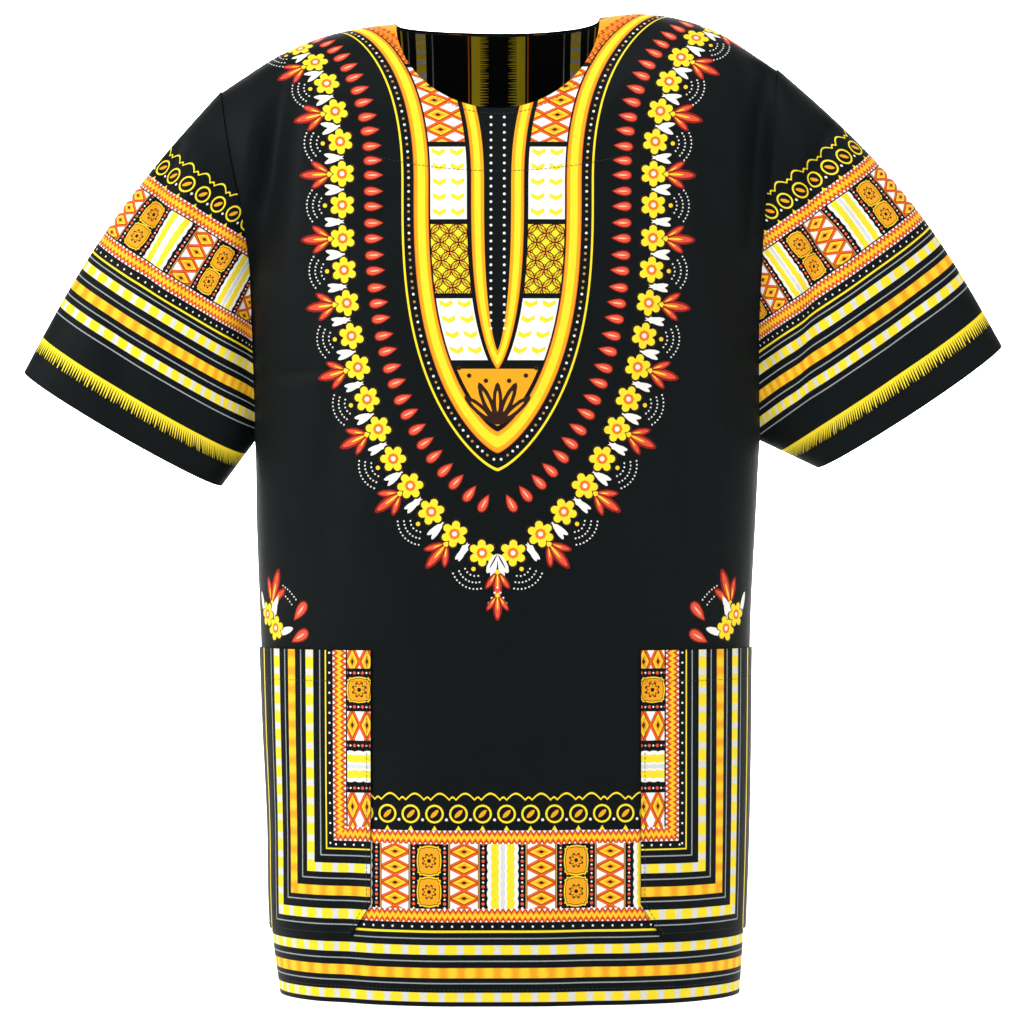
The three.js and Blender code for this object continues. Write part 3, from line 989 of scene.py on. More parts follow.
# Stripes of a sleeve, by their distance up from the cuff.
SLEEVE_STRIPES = (
    Band(20.0, 30.0, Ink.FRINGE),
    Band(30.0, 32.4, Ink.LEMON),
    Band(55.0, 56.6, Ink.FINE_DOTS),
    Band(60.6, 68.0, Ink.IKAT),
    Band(72.4, 74.0, Ink.FINE_DOTS),
    Band(77.6, 85.6, Ink.ORANGE_IKAT),
    Band(89.6, 91.2, Ink.FINE_DOTS),
    Band(95.6, 103.2, Ink.IKAT),
    Band(106.6, 108.2, Ink.FINE_DOTS),
    Band(110.6, 112.2, Ink.LEMON),
    Band(114.0, 116.8, Ink.DOT_ROW),
    Band(119.0, 130.0, Ink.ZIGZAG),
    Band(176.4, 187.4, Ink.ZIGZAG),
)
SLEEVE_BOX_TOP = 175.4
SLEEVE_BOX_LOW = 131.0
SLEEVE_RINGS = -199.0  # the middle of the sleeve's ring row, down from the cuff
HEM_RINGS = 627.0  # the same above the hem, as a drop
CARTOUCHE_SHARES = (0.26, 0.74)  # where a box row's two cartouches lie between its edges
# A pocket's inner column: its width, its boxes by their drops, and where the border turns.
POCKET_COLUMN = 20.4
POCKET_BORDER_FOOT = 638.2
POCKET_BOXES = (
    Band(499.0, 515.0, Ink.DIAMONDS),
    Band(516.6, 520.6, Ink.LOZENGE_ROW),
    Band(543.0, 547.0, Ink.LOZENGE_ROW),
    Band(548.4, 571.0, Ink.DIAMONDS),
    Band(573.0, 577.0, Ink.LOZENGE_ROW),
    Band(578.6, 604.6, Ink.SCALLOPED),
    Band(606.0, 610.0, Ink.LOZENGE_ROW),
    Band(611.4, 639.0, Ink.DIAMONDS),
)
# Upright stripes of the facing, outwards from its middle.
FACING_STRIPES = (
    Band(8.0, 15.0, Ink.FRINGE),
    Band(15.0, 22.0, Ink.LEMON),
    Band(23.6, 24.8, Ink.ORANGE),
    Band(53.0, 54.6, Ink.FINE_DOTS),
    Band(59.0, 67.0, Ink.IKAT),
    Band(72.4, 74.0, Ink.FINE_DOTS),
    Band(77.6, 79.0, Ink.LEMON),
    Band(82.0, 95.0, Ink.HATCH),
    Band(96.0, 118.0, Ink.DIAMONDS),
    Band(119.0, 130.0, Ink.HATCH),
)


@dataclass
class Artwork:
    """The shapes printed on one flat piece of cloth, in the order in which they are laid."""

    shapes: list[Shape] = field(default_factory=list)

    def add(self, outline: Array, ink: Ink, band: BandFrame | None = None) -> None:
        """Prints one shape."""
        self.shapes.append(Shape(outline, ink, band))

    def stamp(self, outline: Array, ink: Ink, at: Sequence[float], angle: float = 0.0) -> None:
        """Prints one shape turned by an angle at a place."""
        self.add(turned(outline, angle) + np.asarray(at), ink)

    def row(self, low: float, high: float, band: Band, start: float = 0.0, up: int = 1) -> None:
        """Prints a stripe that runs across the cloth.

        Args:
            low: where it begins, across.
            high: where it ends, across.
            band: the stripe.
            start: where its group starts, down.
            up: 1 if its group goes down the cloth and -1 if it goes up.
        """
        near = start + up * band.start
        far = start + up * band.end

        def frame_of(flat: Array) -> Array:
            """Distance along the stripe and across it."""
            return np.stack([flat[:, 0], (flat[:, 1] - near) * up], axis=1)

        box = np.array([[low, near], [high, near], [high, far], [low, far]])
        self.add(box, band.ink, frame_of)

    def column(
        self, top: float, foot: float, band: Band, start: float = 0.0, side: int = 1
    ) -> None:
        """Prints a stripe that runs down the cloth.

        Args:
            top: where it begins, down.
            foot: where it ends, down.
            band: the stripe.
            start: where its group starts, across.
            side: 1 if its group goes to the right and -1 if it goes to the left.
        """
        near = start + side * band.start
        far = start + side * band.end

        def frame_of(flat: Array) -> Array:
            """Distance along the stripe and across it."""
            return np.stack([flat[:, 1] - top, (flat[:, 0] - near) * side], axis=1)

        box = np.array([[near, top], [far, top], [far, foot], [near, foot]])
        self.add(box, band.ink, frame_of)

    def flower(self, at: Sequence[float], radius: float, angle: float = 0.0) -> None:
        """Prints a six-petalled flower with a dark ring and a pale eye.

        Args:
            at: its middle.
            radius: how far its petals reach.
            angle: how far it is turned.
        """
        self.stamp(blossom(radius * 1.16, 6), Ink.BROWN, at, angle)
        self.stamp(blossom(radius, 6), Ink.LEMON, at, angle)
        self.stamp(disc(radius * 0.42), Ink.ORANGE, at)
        self.stamp(disc(radius * 0.2, 6), Ink.WHITE, at)

    def palmette(self, at: Sequence[float], length: float, angle: float) -> None:
        """Prints three coral leaves that spread from one point.

        Args:
            at: where the leaves meet.
            length: the length of the middle leaf.
            angle: where that leaf points.
        """
        for spread, reach in ((-0.62, 0.74), (0.62, 0.74), (0.0, 1.0)):
            size = length * reach
            self.stamp(leaf(size, size * 0.34), Ink.DEEP_RED, at, angle + spread)
            root = ahead(at, size * 0.08, angle + spread)
            self.stamp(leaf(size * 0.82, size * 0.2), Ink.CORAL, root, angle + spread)
            self.stamp(leaf(size * 0.5, size * 0.06), Ink.LEMON, root, angle + spread)
        self.stamp(disc(length * 0.09), Ink.LEMON, at)

    def cartouche(self, at: Sequence[float], width: float, height: float) -> None:
        """Prints an orange panel with a wavy edge and a small outlined flower.

        Args:
            at: its middle.
            width: its width.
            height: its height.
        """
        t = np.linspace(0, 2 * math.pi, 49)[:-1]
        wave = 1 + 0.045 * np.cos(12 * t)
        x = width / 2 * np.sign(np.cos(t)) * np.abs(np.cos(t)) ** 0.4 * wave
        y = height / 2 * np.sign(np.sin(t)) * np.abs(np.sin(t)) ** 0.4 * wave
        edge = np.stack([x, y], axis=1)
        self.stamp(edge, Ink.GOLD, at)
        self.stamp(edge * 0.9, Ink.BROWN, at)
        self.stamp(edge * 0.85, Ink.AMBER, at)
        flower = min(width, height) * 0.33
        self.stamp(blossom(flower, 8, 3), Ink.BROWN, at)
        self.stamp(blossom(flower * 0.76, 8, 3), Ink.AMBER, at)
        self.stamp(disc(flower * 0.28, 6), Ink.BROWN, at)

    def dotted_arc(self, at: Sequence[float], radius: float, start: float, end: float) -> None:
        """Prints small white dots along part of a circle.

        Args:
            at: the circle's middle.
            radius: its radius.
            start: the angle at which the arc begins.
            end: the angle at which it ends.
        """
        count = max(2, round(abs(end - start) * radius / 2.6))
        for angle in np.linspace(start, end, count):
            self.stamp(disc(0.75, 5), Ink.WHITE, ahead(at, radius, angle))

    def leaf_pair(self, at: Sequence[float], length: float, angle: float) -> None:
        """Prints two white leaves with dark veins, and a dot between them.

        Args:
            at: where the leaves meet.
            length: their length.
            angle: where they point.
        """
        for spread in (-0.5, 0.5):
            self.stamp(leaf(length, length * 0.36), Ink.WHITE, at, angle + spread)
            self.stamp(leaf(length * 0.76, length * 0.07), Ink.BROWN, at, angle + spread)
        self.stamp(disc(1.4), Ink.LEMON, ahead(at, length * 0.9, angle))

    def tear(self, at: Sequence[float], length: float, angle: float) -> None:
        """Prints a coral tear drop with a light stroke along it.

        Args:
            at: where its point is.
            length: its length.
            angle: where its round end points.
        """
        self.stamp(drop(length, length * 0.55), Ink.DEEP_RED, at, angle)
        near = ahead(at, length * 0.08, angle)
        self.stamp(drop(length * 0.86, length * 0.42), Ink.CORAL, near, angle)
        light = ahead(at, length * 0.3, angle)
        self.stamp(leaf(length * 0.5, length * 0.08), Ink.BLUSH, light, angle)

    def dots(self, start: Sequence[float], angle: float, count: int, pitch: float) -> None:
        """Prints a stem of small white dots."""
        for i in range(count):
            self.stamp(disc(0.9, 6), Ink.WHITE, ahead(start, pitch * i, angle))

    def ring_row(self, low: float, high: float, down: float) -> None:
        """Prints a row of rings with a seed in each, under a scalloped line.

        Args:
            low: where the row begins, across.
            high: where it ends, across.
            down: the middle of the rings.
        """
        pitch = 18.6
        radius = 7.3
        count = max(1, int((high - low) / pitch))
        for i in range(count):
            x = (low + high) / 2 + (i - (count - 1) / 2) * pitch
            self.stamp(disc(radius, 16), Ink.LEMON, (x, down))
            self.stamp(disc(radius - 1.6, 16), Ink.GROUND, (x, down))
            self.stamp(leaf(8.4, 3.4), Ink.AMBER, (x - 2.9, down + 2.9), -0.785)
            self.stamp(disc(1.2, 6), Ink.WHITE, (x + pitch / 2, down + 4.5))
            peak = down + 12.6
            self.add(np.array([[x - 2.2, peak], [x, peak - 3.6], [x + 2.2, peak]]), Ink.LEMON)
        self.scallops(low, high, down - 11.5)

    def scallops(self, low: float, high: float, down: float) -> None:
        """Prints a thin line of wide and narrow arcs in turn.

        Args:
            low: where the line begins, across.
            high: where it ends, across.
            down: where the arcs meet.
        """
        pitch = 19.6
        t = np.arange(low, high, 0.8)
        phase = ((t - (low + high) / 2) / pitch) % 1.0
        wide = np.clip(phase / 0.74, 0, 1)
        narrow = np.clip((phase - 0.74) / 0.26, 0, 1)
        arch = np.where(phase < 0.74, 5.0 * np.sin(math.pi * wide), 2.2 * np.sin(math.pi * narrow))
        upper = np.stack([t, down - arch], axis=1)
        self.add(np.concatenate([upper, upper[::-1] + [0, 1.5]]), Ink.LEMON)


@dataclass(frozen=True)
class Shield:
    """The outline of the yoke: flared over the shoulders and pointed below.

    Each inner band has the same outline, drawn in by a distance.
    """

    half_width: float
    waist: float
    tip: float
    flare: float
    flare_reach: float
    fullness: float = 2.8
    bluntness: float = 0.75
    flare_bend: float = 1.6
    tip_rate: float = 1.45

    def width_at(self, down: Array, inset: float) -> Array:
        """Half width of the outline at each drop, drawn in by an inset.

        Args:
            down: the drops.
            inset: how far the outline is drawn in.

        Returns:
            One half width for each.
        """
        tip = self.tip - self.tip_rate * inset
        t = np.clip((down - self.waist) / (tip - self.waist), 0, 1)
        lower = (self.half_width - inset) * (1 - t**self.fullness) ** self.bluntness
        rise = np.clip((self.waist - down) / self.flare_reach, 0, None)
        upper = self.half_width - inset + self.flare * rise**self.flare_bend
        return np.where(down < self.waist, upper, lower)

    def half(self, inset: float, top: float = -70.0) -> Array:
        """Right half of the outline, from its top down to the tip.

        Args:
            inset: how far the outline is drawn in.
            top: where it starts, down.

        Returns:
            Flat places, one row each.
        """
        tip = self.tip - self.tip_rate * inset
        above = np.linspace(top, self.waist, 34)
        below = self.waist + (tip - self.waist) * np.sin(np.linspace(0, math.pi / 2, 48)[1:])
        down = np.concatenate([above, below])
        return np.stack([self.width_at(down, inset), down], axis=1)

    def whole(self, inset: float) -> Array:
        """The whole outline, mirrored about the middle."""
        half = self.half(inset)
        return np.concatenate([half, half[-2::-1] * [-1, 1]])

    def places(self, inset: float, pitch: float, top: float) -> list[tuple[Array, float]]:
        """Places along the right half, each with the angle that points out of the shield.

        Args:
            inset: how far the line is drawn in, or out where it is negative.
            pitch: the spacing wanted.
            top: where the line starts, down.

        Returns:
            A place and an angle for each, from the tip upwards.
        """
        line = spaced_along(self.half(inset, top)[::-1], 1.0)
        lengths = lengths_along(line)
        count = round(lengths[-1] / pitch)
        found = []
        for i in range(count):
            at = np.searchsorted(lengths, (i + 0.5) * lengths[-1] / count)
            step = line[min(at + 2, len(line) - 1)] - line[max(at - 2, 0)]
            found.append((line[at], math.atan2(step[0], -step[1])))
        return found


FRONT_YOKE = Shield(
    half_width=75, waist=140, tip=362, flare=66, flare_reach=170, flare_bend=2.4
)
BACK_YOKE = Shield(half_width=82, waist=20, tip=176, flare=40, flare_reach=90)
YOKE_BANDS = (
    (0.0, Ink.LEMON),
    (1.6, Ink.GROUND),
    (9.6, Ink.ORANGE),
    (10.4, Ink.AMBER),
    (12.6, Ink.LEMON),
    (18.6, Ink.AMBER),
    (20.6, Ink.ORANGE),
    (21.2, Ink.GROUND),
    (54.4, Ink.ORANGE),
    (55.0, Ink.AMBER),
    (56.8, Ink.LEMON),
    (61.8, Ink.AMBER),
    (64.4, Ink.GROUND),
)
YOKE_BOX_INNER = 51.0
YOKE_BOX_OUTER = 22.6
# Boxes of the yoke's side columns, each between two drops.
YOKE_BOXES = (
    Band(-60, 36, Ink.HATCH),
    Band(40, 104, Ink.DIAMONDS),
    Band(108, 166, Ink.CHEVRONS),
    Band(170, 224, Ink.LATTICE),
    Band(228, 276, Ink.CHEVRONS),
)


@dataclass(frozen=True)
class SideFrame:
    """Places beside a side seam, by an angle and a reach counted inwards and up from a root."""

    side: int
    out: float = 207.0
    down: float = 500.0

    def place(self, angle: float, reach: float) -> Array:
        """The flat place at an angle and a reach."""
        step = np.array([-self.side * math.cos(angle), -math.sin(angle)])
        return np.array([self.side * self.out, self.down]) + reach * step

    def turn(self, angle: float) -> float:
        """The same angle as the turn of a motif."""
        return math.atan2(-math.sin(angle), -self.side * math.cos(angle))


class TunicPrint:
    """Draws the artwork of each piece. Its flower, leaf and palmette motifs are plain ones."""

    def nested_bands(self, art: Artwork, shield: Shield, reach: float) -> None:
        """Prints the yoke's bands, each one inside the last, as far in as the shield is wide.

        Args:
            art: the artwork to print on.
            shield: the yoke.
            reach: the inset at which the bands stop.
        """
        for inset, ink in YOKE_BANDS:
            if inset < reach:
                art.add(shield.whole(inset), ink)

    def yoke_boxes(self, art: Artwork, shield: Shield) -> None:
        """Prints the boxes down both sides of the yoke.

        Args:
            art: the artwork to print on.
            shield: the yoke.
        """
        for box in YOKE_BOXES:
            down = np.linspace(box.start, box.end, 12)
            for side in (-1, 1):
                near = shield.width_at(down, YOKE_BOX_OUTER)
                far = shield.width_at(down, YOKE_BOX_INNER)
                outer = np.stack([side * near, down], axis=1)
                inner = np.stack([side * far, down], axis=1)

                def frame_of(flat: Array, side: int = side, top: float = box.start) -> Array:
                    """Distance down the box and in from its outer edge."""
                    edge = shield.width_at(flat[:, 1], YOKE_BOX_OUTER)
                    return np.stack([flat[:, 1] - top, edge - flat[:, 0] * side], axis=1)

                art.add(np.concatenate([outer, inner[::-1]]), box.ink, frame_of)

    def yoke(self, art: Artwork) -> None:
        """Prints the front yoke: bands, boxes, dots and a palmette at the point.

        Args:
            art: the artwork to print on.
        """
        shield = FRONT_YOKE
        self.nested_bands(art, shield, 70)
        for at, _ in shield.places(5.6, 5.4, -60):
            for side in (-1, 1):
                art.stamp(disc(1.1, 6), Ink.WHITE if at[1] % 11 < 5.5 else Ink.TAN, at * [side, 1])
        self.yoke_boxes(art, shield)
        self.twin_dots(art, 84.0, 252.0)
        self.yoke_point(art, shield)

    def twin_dots(self, art: Artwork, top: float, foot: float) -> None:
        """Prints two rows of dots down the middle, between two drops.

        Args:
            art: the artwork to print on.
            top: where the rows begin, down.
            foot: where they end.
        """
        for down in np.arange(top, foot, 6.2):
            for across in (-5.2, 5.2):
                art.stamp(disc(1.15, 6), Ink.WHITE, (across, down))

    def yoke_point(self, art: Artwork, shield: Shield) -> None:
        """Prints the yoke's point: an amber field with a fan of brown leaves and dots.

        Args:
            art: the artwork to print on.
            shield: the yoke.
        """
        half = shield.half(YOKE_BOX_OUTER + 1.6)
        field_half = half[half[:, 1] > 281.0]
        art.add(np.concatenate([field_half, field_half[::-1] * [-1, 1]]), Ink.AMBER)
        root = (0.0, 326.0)
        for spread, length in ((0.0, 33.0), (0.42, 36.0), (0.86, 34.0)):
            for side in (-1, 1):
                angle = -math.pi / 2 + side * spread
                art.stamp(leaf(length, length * 0.24), Ink.BROWN, root, angle)
                vein = ahead(root, length * 0.3, angle)
                art.stamp(leaf(length * 0.5, length * 0.07), Ink.AMBER, vein, angle)
        for across, down in ((9.0, 297.0), (22.0, 293.0), (30.0, 287.0)):
            for side in (-1, 1):
                art.stamp(disc(1.9), Ink.BROWN, (side * across, down - 5))

    def garland(self, art: Artwork, shield: Shield, top: float = -40.0) -> None:
        """Prints the rings of drops, flowers, palmettes and leaves round a yoke.

        Args:
            art: the artwork to print on.
            shield: the yoke.
            top: how far up the rings go.
        """
        for at, angle in shield.places(-14, 12.6, top):
            for place, turn in both_sides(at, angle):
                art.tear(place, 16, turn)
        for i, (at, angle) in enumerate(shield.places(-47, 25, top)):
            for place, turn in both_sides(at, angle):
                for spread in (-1, 1):
                    root = ahead(place, -2.0, turn, spread * 11.0)
                    art.stamp(leaf(17, 4.6), Ink.WHITE, root, turn + spread * 0.3)
                stem = ahead(place, 10, turn)
                if i % 2:
                    art.palmette(stem, 25, turn)
                else:
                    for radius in (9.0, 14.0, 19.0):
                        art.dotted_arc(stem, radius, turn - 0.7, turn + 0.7)
                    art.stamp(disc(1.8), Ink.GOLD, ahead(stem, 4, turn))
                art.flower(place, 10.4, turn)

    def border_rows(self, art: Artwork, half: float) -> None:
        """Prints the rows above the hem.

        Args:
            art: the artwork to print on.
            half: half the width of the middle part with the boxes.
        """
        for band in HEM_STRIPES:
            art.row(-HEM_REACH, HEM_REACH, band)
        low, high = PANEL_MIDDLE - half, PANEL_MIDDLE + half
        for band in HEM_PANEL:
            art.row(low, high, band)
        art.ring_row(low, high, HEM_RINGS)
        art.column(BOX_TOP, BOX_LOW, Band(-12.4, 12.4, Ink.SCALLOPED), BOX_MIDDLE)
        for side in (-1, 1):
            for column in BOX_COLUMNS:
                art.column(BOX_TOP, BOX_LOW, column, BOX_MIDDLE, side)
            for share in CARTOUCHE_SHARES:
                at = (BOX_MIDDLE + side * CARTOUCHE_COLUMN, BOX_TOP + (BOX_LOW - BOX_TOP) * share)
                art.cartouche(at, 18.5, 23.0)

    def side_sprays(self, art: Artwork) -> None:
        """Prints the half garlands over the pockets, which the side seams cut.

        Args:
            art: the artwork to print on.
        """
        for side in (-1, 1):
            seam = SideFrame(side)
            for angle, reach in ((0.12, 36.0), (0.5, 44.0)):
                art.tear(seam.place(angle, reach), 20, seam.turn(angle + 0.35))
            for radius in (34.0, 40.0):
                art.dotted_arc(seam.place(0.85, 16.0), radius, seam.turn(0.7), seam.turn(1.15))
            art.palmette(seam.place(1.25, 36.0), 30, seam.turn(1.2))
            for angle, reach in ((0.75, 22.0), (1.45, 26.0)):
                for spread in (-0.5, 0.5):
                    at = seam.place(angle + spread * 0.5, reach)
                    art.stamp(leaf(19, 6), Ink.WHITE, at, seam.turn(angle + spread))
                art.flower(seam.place(angle, reach), 10.0, seam.turn(angle))

    def front(self) -> Artwork:
        """The artwork of the front.

        Returns:
            The artwork.
        """
        art = Artwork()
        self.garland(art, FRONT_YOKE)
        self.yoke(art)
        sprig = math.pi / 2
        art.leaf_pair((0, 426), 17, sprig)
        art.palmette((0, 440), 22, sprig)
        for spread in (-0.5, 0.5):
            art.dots((0, 452), sprig + spread, 4, 4.6)
        art.palmette((0, 458), 20, sprig)
        self.side_sprays(art)
        self.border_rows(art, 121)
        return art

    def back(self) -> Artwork:
        """The artwork of the back: a short yoke, and the same border at the hem.

        Returns:
            The artwork.
        """
        art = Artwork()
        self.garland(art, BACK_YOKE)
        self.nested_bands(art, BACK_YOKE, 65)
        self.twin_dots(art, 10.0, 74.0)
        self.border_rows(art, HEM_REACH)
        self.box_units(art, BOX_TOP, BOX_LOW, BOX_MIDDLE + 127.0, range(3))
        self.box_units(art, BOX_TOP, BOX_LOW, BOX_MIDDLE - 128.0, range(-3, 0))
        return art

    def box_units(
        self, art: Artwork, top: float, foot: float, start: float, numbers: Iterable[int]
    ) -> None:
        """Prints a row of box columns that repeats round the cloth.

        Args:
            art: the artwork to print on.
            top: the upper edge of the boxes, down.
            foot: their lower edge.
            start: where the unit numbered 0 begins, across.
            numbers: the units to print.
        """
        for number in numbers:
            left = start + BOX_UNIT * number
            for column in BOX_UNIT_COLUMNS:
                art.column(top, foot, column, left)
            for share in CARTOUCHE_SHARES:
                at = (left + BOX_UNIT_CARTOUCHE, top + (foot - top) * share)
                art.cartouche(at, 18.0, (foot - top) * 0.46)

    def sleeve(self, half: float) -> Artwork:
        """The artwork of a sleeve, which runs round it.

        Args:
            half: half the sleeve's greatest width, flat.

        Returns:
            The artwork.
        """
        art = Artwork()
        for band in SLEEVE_STRIPES:
            art.row(-half, half, band, 0.0, -1)
        art.ring_row(-half, half, SLEEVE_RINGS)
        self.box_units(art, -SLEEVE_BOX_TOP, -SLEEVE_BOX_LOW, 0.0, range(-5, 6))
        return art

    def pocket(self, side: int, inner: float, top: float) -> Artwork:
        """The artwork of a pocket: a column of boxes, and the border round it in an L.

        Args:
            side: -1 or 1.
            inner: the pocket's inner edge, as a distance across.
            top: its top edge, down.

        Returns:
            The artwork.
        """
        art = Artwork()
        corner = inner + POCKET_COLUMN
        foot = POCKET_BORDER_FOOT
        low, high = sorted((side * (inner - 3), side * (corner - 1.2)))
        for box in POCKET_BOXES:
            art.row(low, high, box)
        art.cartouche((side * (inner + 9.2), 531.6), 20.0, 19.6)
        for band in BORDER:
            near = corner + band.start
            far = corner + band.end
            upright = np.array(
                [[near, top - 5], [far, top - 5], [far, foot + band.end], [near, foot + band.start]]
            )
            level = np.array(
                [[inner - 3, foot + band.start], [near, foot + band.start]]
                + [[far, foot + band.end], [inner - 3, foot + band.end]]
            )

            def down_frame(flat: Array, near: float = near) -> Array:
                """Distance down the upright part and out from its inner edge."""
                return np.stack([flat[:, 1], flat[:, 0] * side - near], axis=1)

            def level_frame(flat: Array, start: float = foot + band.start) -> Array:
                """Distance along the level part and down from its upper edge."""
                return np.stack([flat[:, 0], flat[:, 1] - start], axis=1)

            art.add(upright * [side, 1], band.ink, down_frame)
            art.add(level * [side, 1], band.ink, level_frame)
        return art

    def facing(self) -> Artwork:
        """The artwork of the neck facing, whose stripes run down from the neckline.

        Returns:
            The artwork.
        """
        art = Artwork()
        for side in (-1, 1):
            for band in FACING_STRIPES:
                art.column(-70, 160, band, 0.0, side)
        return art


# ---------------------------------------------------------------- finishes


def linear(hex_colour: str) -> Colour:
    """Turns an sRGB hex colour into Blender's linear values.

    Args:
        hex_colour: six hex digits.

    Returns:
        Red, green, blue and 1.
    """
    values = [int(hex_colour[i : i + 2], 16) / 255 for i in (0, 2, 4)]
    linear_values = [v / 12.92 if v <= 0.04045 else ((v + 0.055) / 1.055) ** 2.4 for v in values]
    return (*linear_values, 1.0)


def add_node(
    tree: bpy.types.NodeTree,
    kind: str,
    settings: dict[str, object] | None = None,
    inputs: dict[int | str, object] | None = None,
) -> bpy.types.Node:
    """Adds one node with its settings and links.

    Args:
        tree: the tree that it goes in.
        kind: the node's type.
        settings: its properties by name.
        inputs: its inputs by name or number, each a value or a socket to link from.

    Returns:
        The node.
    """
    made = tree.nodes.new(kind)
    for name, value in (settings or {}).items():
        setattr(made, name, value)
    for name, value in (inputs or {}).items():
        if isinstance(value, bpy.types.NodeSocket):
            tree.links.new(made.inputs[name], value)
        else:
            made.inputs[name].default_value = value
    return made


@dataclass(frozen=True)
class Measure:
    """A number that varies over the cloth, as arithmetic in a shader."""

    tree: bpy.types.NodeTree
    socket: bpy.types.NodeSocket

    def worked(self, operation: str, *others: "Measure | float") -> "Measure":
        """This number put through one operation with others.

        Args:
            operation: the operation.
            others: the other numbers that it takes.

        Returns:
            The result.
        """
        inputs: dict[int | str, object] = {0: self.socket}
        for i, other in enumerate(others, 1):
            inputs[i] = other.socket if isinstance(other, Measure) else other
        made = add_node(self.tree, "ShaderNodeMath", {"operation": operation}, inputs)
        return Measure(self.tree, made.outputs[0])

    def __add__(self, other: "Measure | float") -> "Measure":
        """Sum."""
        return self.worked("ADD", other)

    def __sub__(self, other: "Measure | float") -> "Measure":
        """Difference."""
        return self.worked("SUBTRACT", other)

    def __mul__(self, other: "Measure | float") -> "Measure":
        """Product."""
        return self.worked("MULTIPLY", other)

    def size(self) -> "Measure":
        """Value without its sign."""
        return self.worked("ABSOLUTE")

    def noise(self, scale: float) -> "Measure":
        """Soft noise about 0 that follows this number.

        Args:
            scale: how fast the noise changes.

        Returns:
            The noise.
        """
        made = add_node(
            self.tree,
            "ShaderNodeTexNoise",
            {"noise_dimensions": "1D"},
            {"W": self.socket, "Scale": scale, "Detail": 1.0},
        )
        return Measure(self.tree, made.outputs[0]) - 0.5

    def fold(self, pitch: float, phase: float = 0.0) -> "Measure":
        """Distance from the middle of each repeat, from 0 to 0.5."""
        return ((self * (1 / pitch) + phase).worked("FRACT") - 0.5).size()

    def coloured(
        self, stops: Sequence[tuple[float, str]], soft: bool = False
    ) -> bpy.types.NodeSocket:
        """This number turned into colours.

        Args:
            stops: where each colour starts, from 0 to 1, and its sRGB hex value.
            soft: True if the colours run into each other.

        Returns:
            The colour socket.
        """
        made = add_node(self.tree, "ShaderNodeValToRGB", inputs={0: self.socket})
        ramp = made.color_ramp
        ramp.interpolation = "LINEAR" if soft else "CONSTANT"
        while len(ramp.elements) < len(stops):
            ramp.elements.new(1.0)
        for element, (at, colour) in zip(ramp.elements, stops):
            element.position = at
            element.color = linear(colour)
        return made.outputs[0]


def mixed(blend: str, *colours: bpy.types.NodeSocket) -> bpy.types.NodeSocket:
    """Puts two colours together.

    Args:
        blend: how they are put together.
        colours: the sockets of both.

    Returns:
        The colour socket.
    """
    made = add_node(
        colours[0].id_data,
        "ShaderNodeMix",
        {"data_type": "RGBA", "blend_type": blend},
        {"Factor": 1.0, 6: colours[0], 7: colours[1]},
    )
    return made.outputs[2]


def mapped(tree: bpy.types.NodeTree, name: str) -> tuple[Measure, Measure]:
    """The two numbers of a UV map.

    Args:
        tree: the material's tree.
        name: the map's name.

    Returns:
        The first and the second number.
    """
    source = add_node(tree, "ShaderNodeUVMap", {"uv_map": name})
    parts = add_node(tree, "ShaderNodeSeparateXYZ", inputs={0: source.outputs[0]})
    return Measure(tree, parts.outputs[0]), Measure(tree, parts.outputs[1])


# The dyes, as they look on cotton in daylight.
GROUND_DYE = "050b0c"
LEMON_DYE = "efd62e"
GOLD_DYE = "f3c72c"
AMBER_DYE = "eb9f1e"
SCARLET_DYE = "cf3d1a"
ORANGE_DYE = "e8741a"
CORAL_DYE = "dd5236"
DEEP_RED_DYE = "8c1c14"
BLUSH_DYE = "f4b79c"
WHITE_DYE = "ece9e4"
BROWN_DYE = "2e1a12"
TAN_DYE = "b98a4c"
GREY_DYE = "cfd1d2"
DOT_DYE = "a3a8aa"


@dataclass(frozen=True)
class PlainDye:
    """One flat colour of the print."""

    colour: str

    def paint(self, along: Measure, across: Measure) -> Paint:
        """The colour, the same all over."""
        return linear(self.colour)


@dataclass(frozen=True)
class ZigzagBand:
    """Nested zigzags: white at both edges, then red and orange round a bright middle."""

    width: float = 10.0
    pitch: float = 4.3
    middle: str = GOLD_DYE
    edge: str = WHITE_DYE

    def paint(self, along: Measure, across: Measure) -> Paint:
        """The colours over the band.

        Args:
            along: distance along the band.
            across: distance across it.

        Returns:
            The colour socket.
        """
        wave = along.fold(self.pitch) * 0.62 - 0.155
        height = (across * (1 / self.width) - 0.5 + wave).size()
        stops = (
            (0.0, self.middle),
            (0.1, AMBER_DYE),
            (0.17, ORANGE_DYE),
            (0.25, SCARLET_DYE),
            (0.36, DEEP_RED_DYE),
            (0.44, self.edge),
        )
        return height.coloured(stops)


@dataclass(frozen=True)
class DotRow:
    """Round dots in a row, with a second kind of dot halfway between them."""

    width: float
    pitch: float
    radius: float
    first: str = WHITE_DYE
    second: str = GROUND_DYE
    first_share: float = 1.0  # the first dots' size against the second ones'

    def paint(self, along: Measure, across: Measure) -> Paint:
        """The colours over the row.

        Args:
            along: distance along the band.
            across: distance across it.

        Returns:
            The colour socket.
        """
        off = across - self.width / 2
        colours = []
        for phase in (0.0, 0.5):
            step = along.fold(self.pitch, phase) * self.pitch
            away = (step * step + off * off).worked("SQRT") * (1 / self.pitch)
            dot = self.first if phase == 0.0 else self.second
            reach = self.radius * (self.first_share if phase == 0.0 else 1.0) / self.pitch
            colours.append(away.coloured(((0.0, dot), (reach, GROUND_DYE))))
        return mixed("LIGHTEN", *colours)


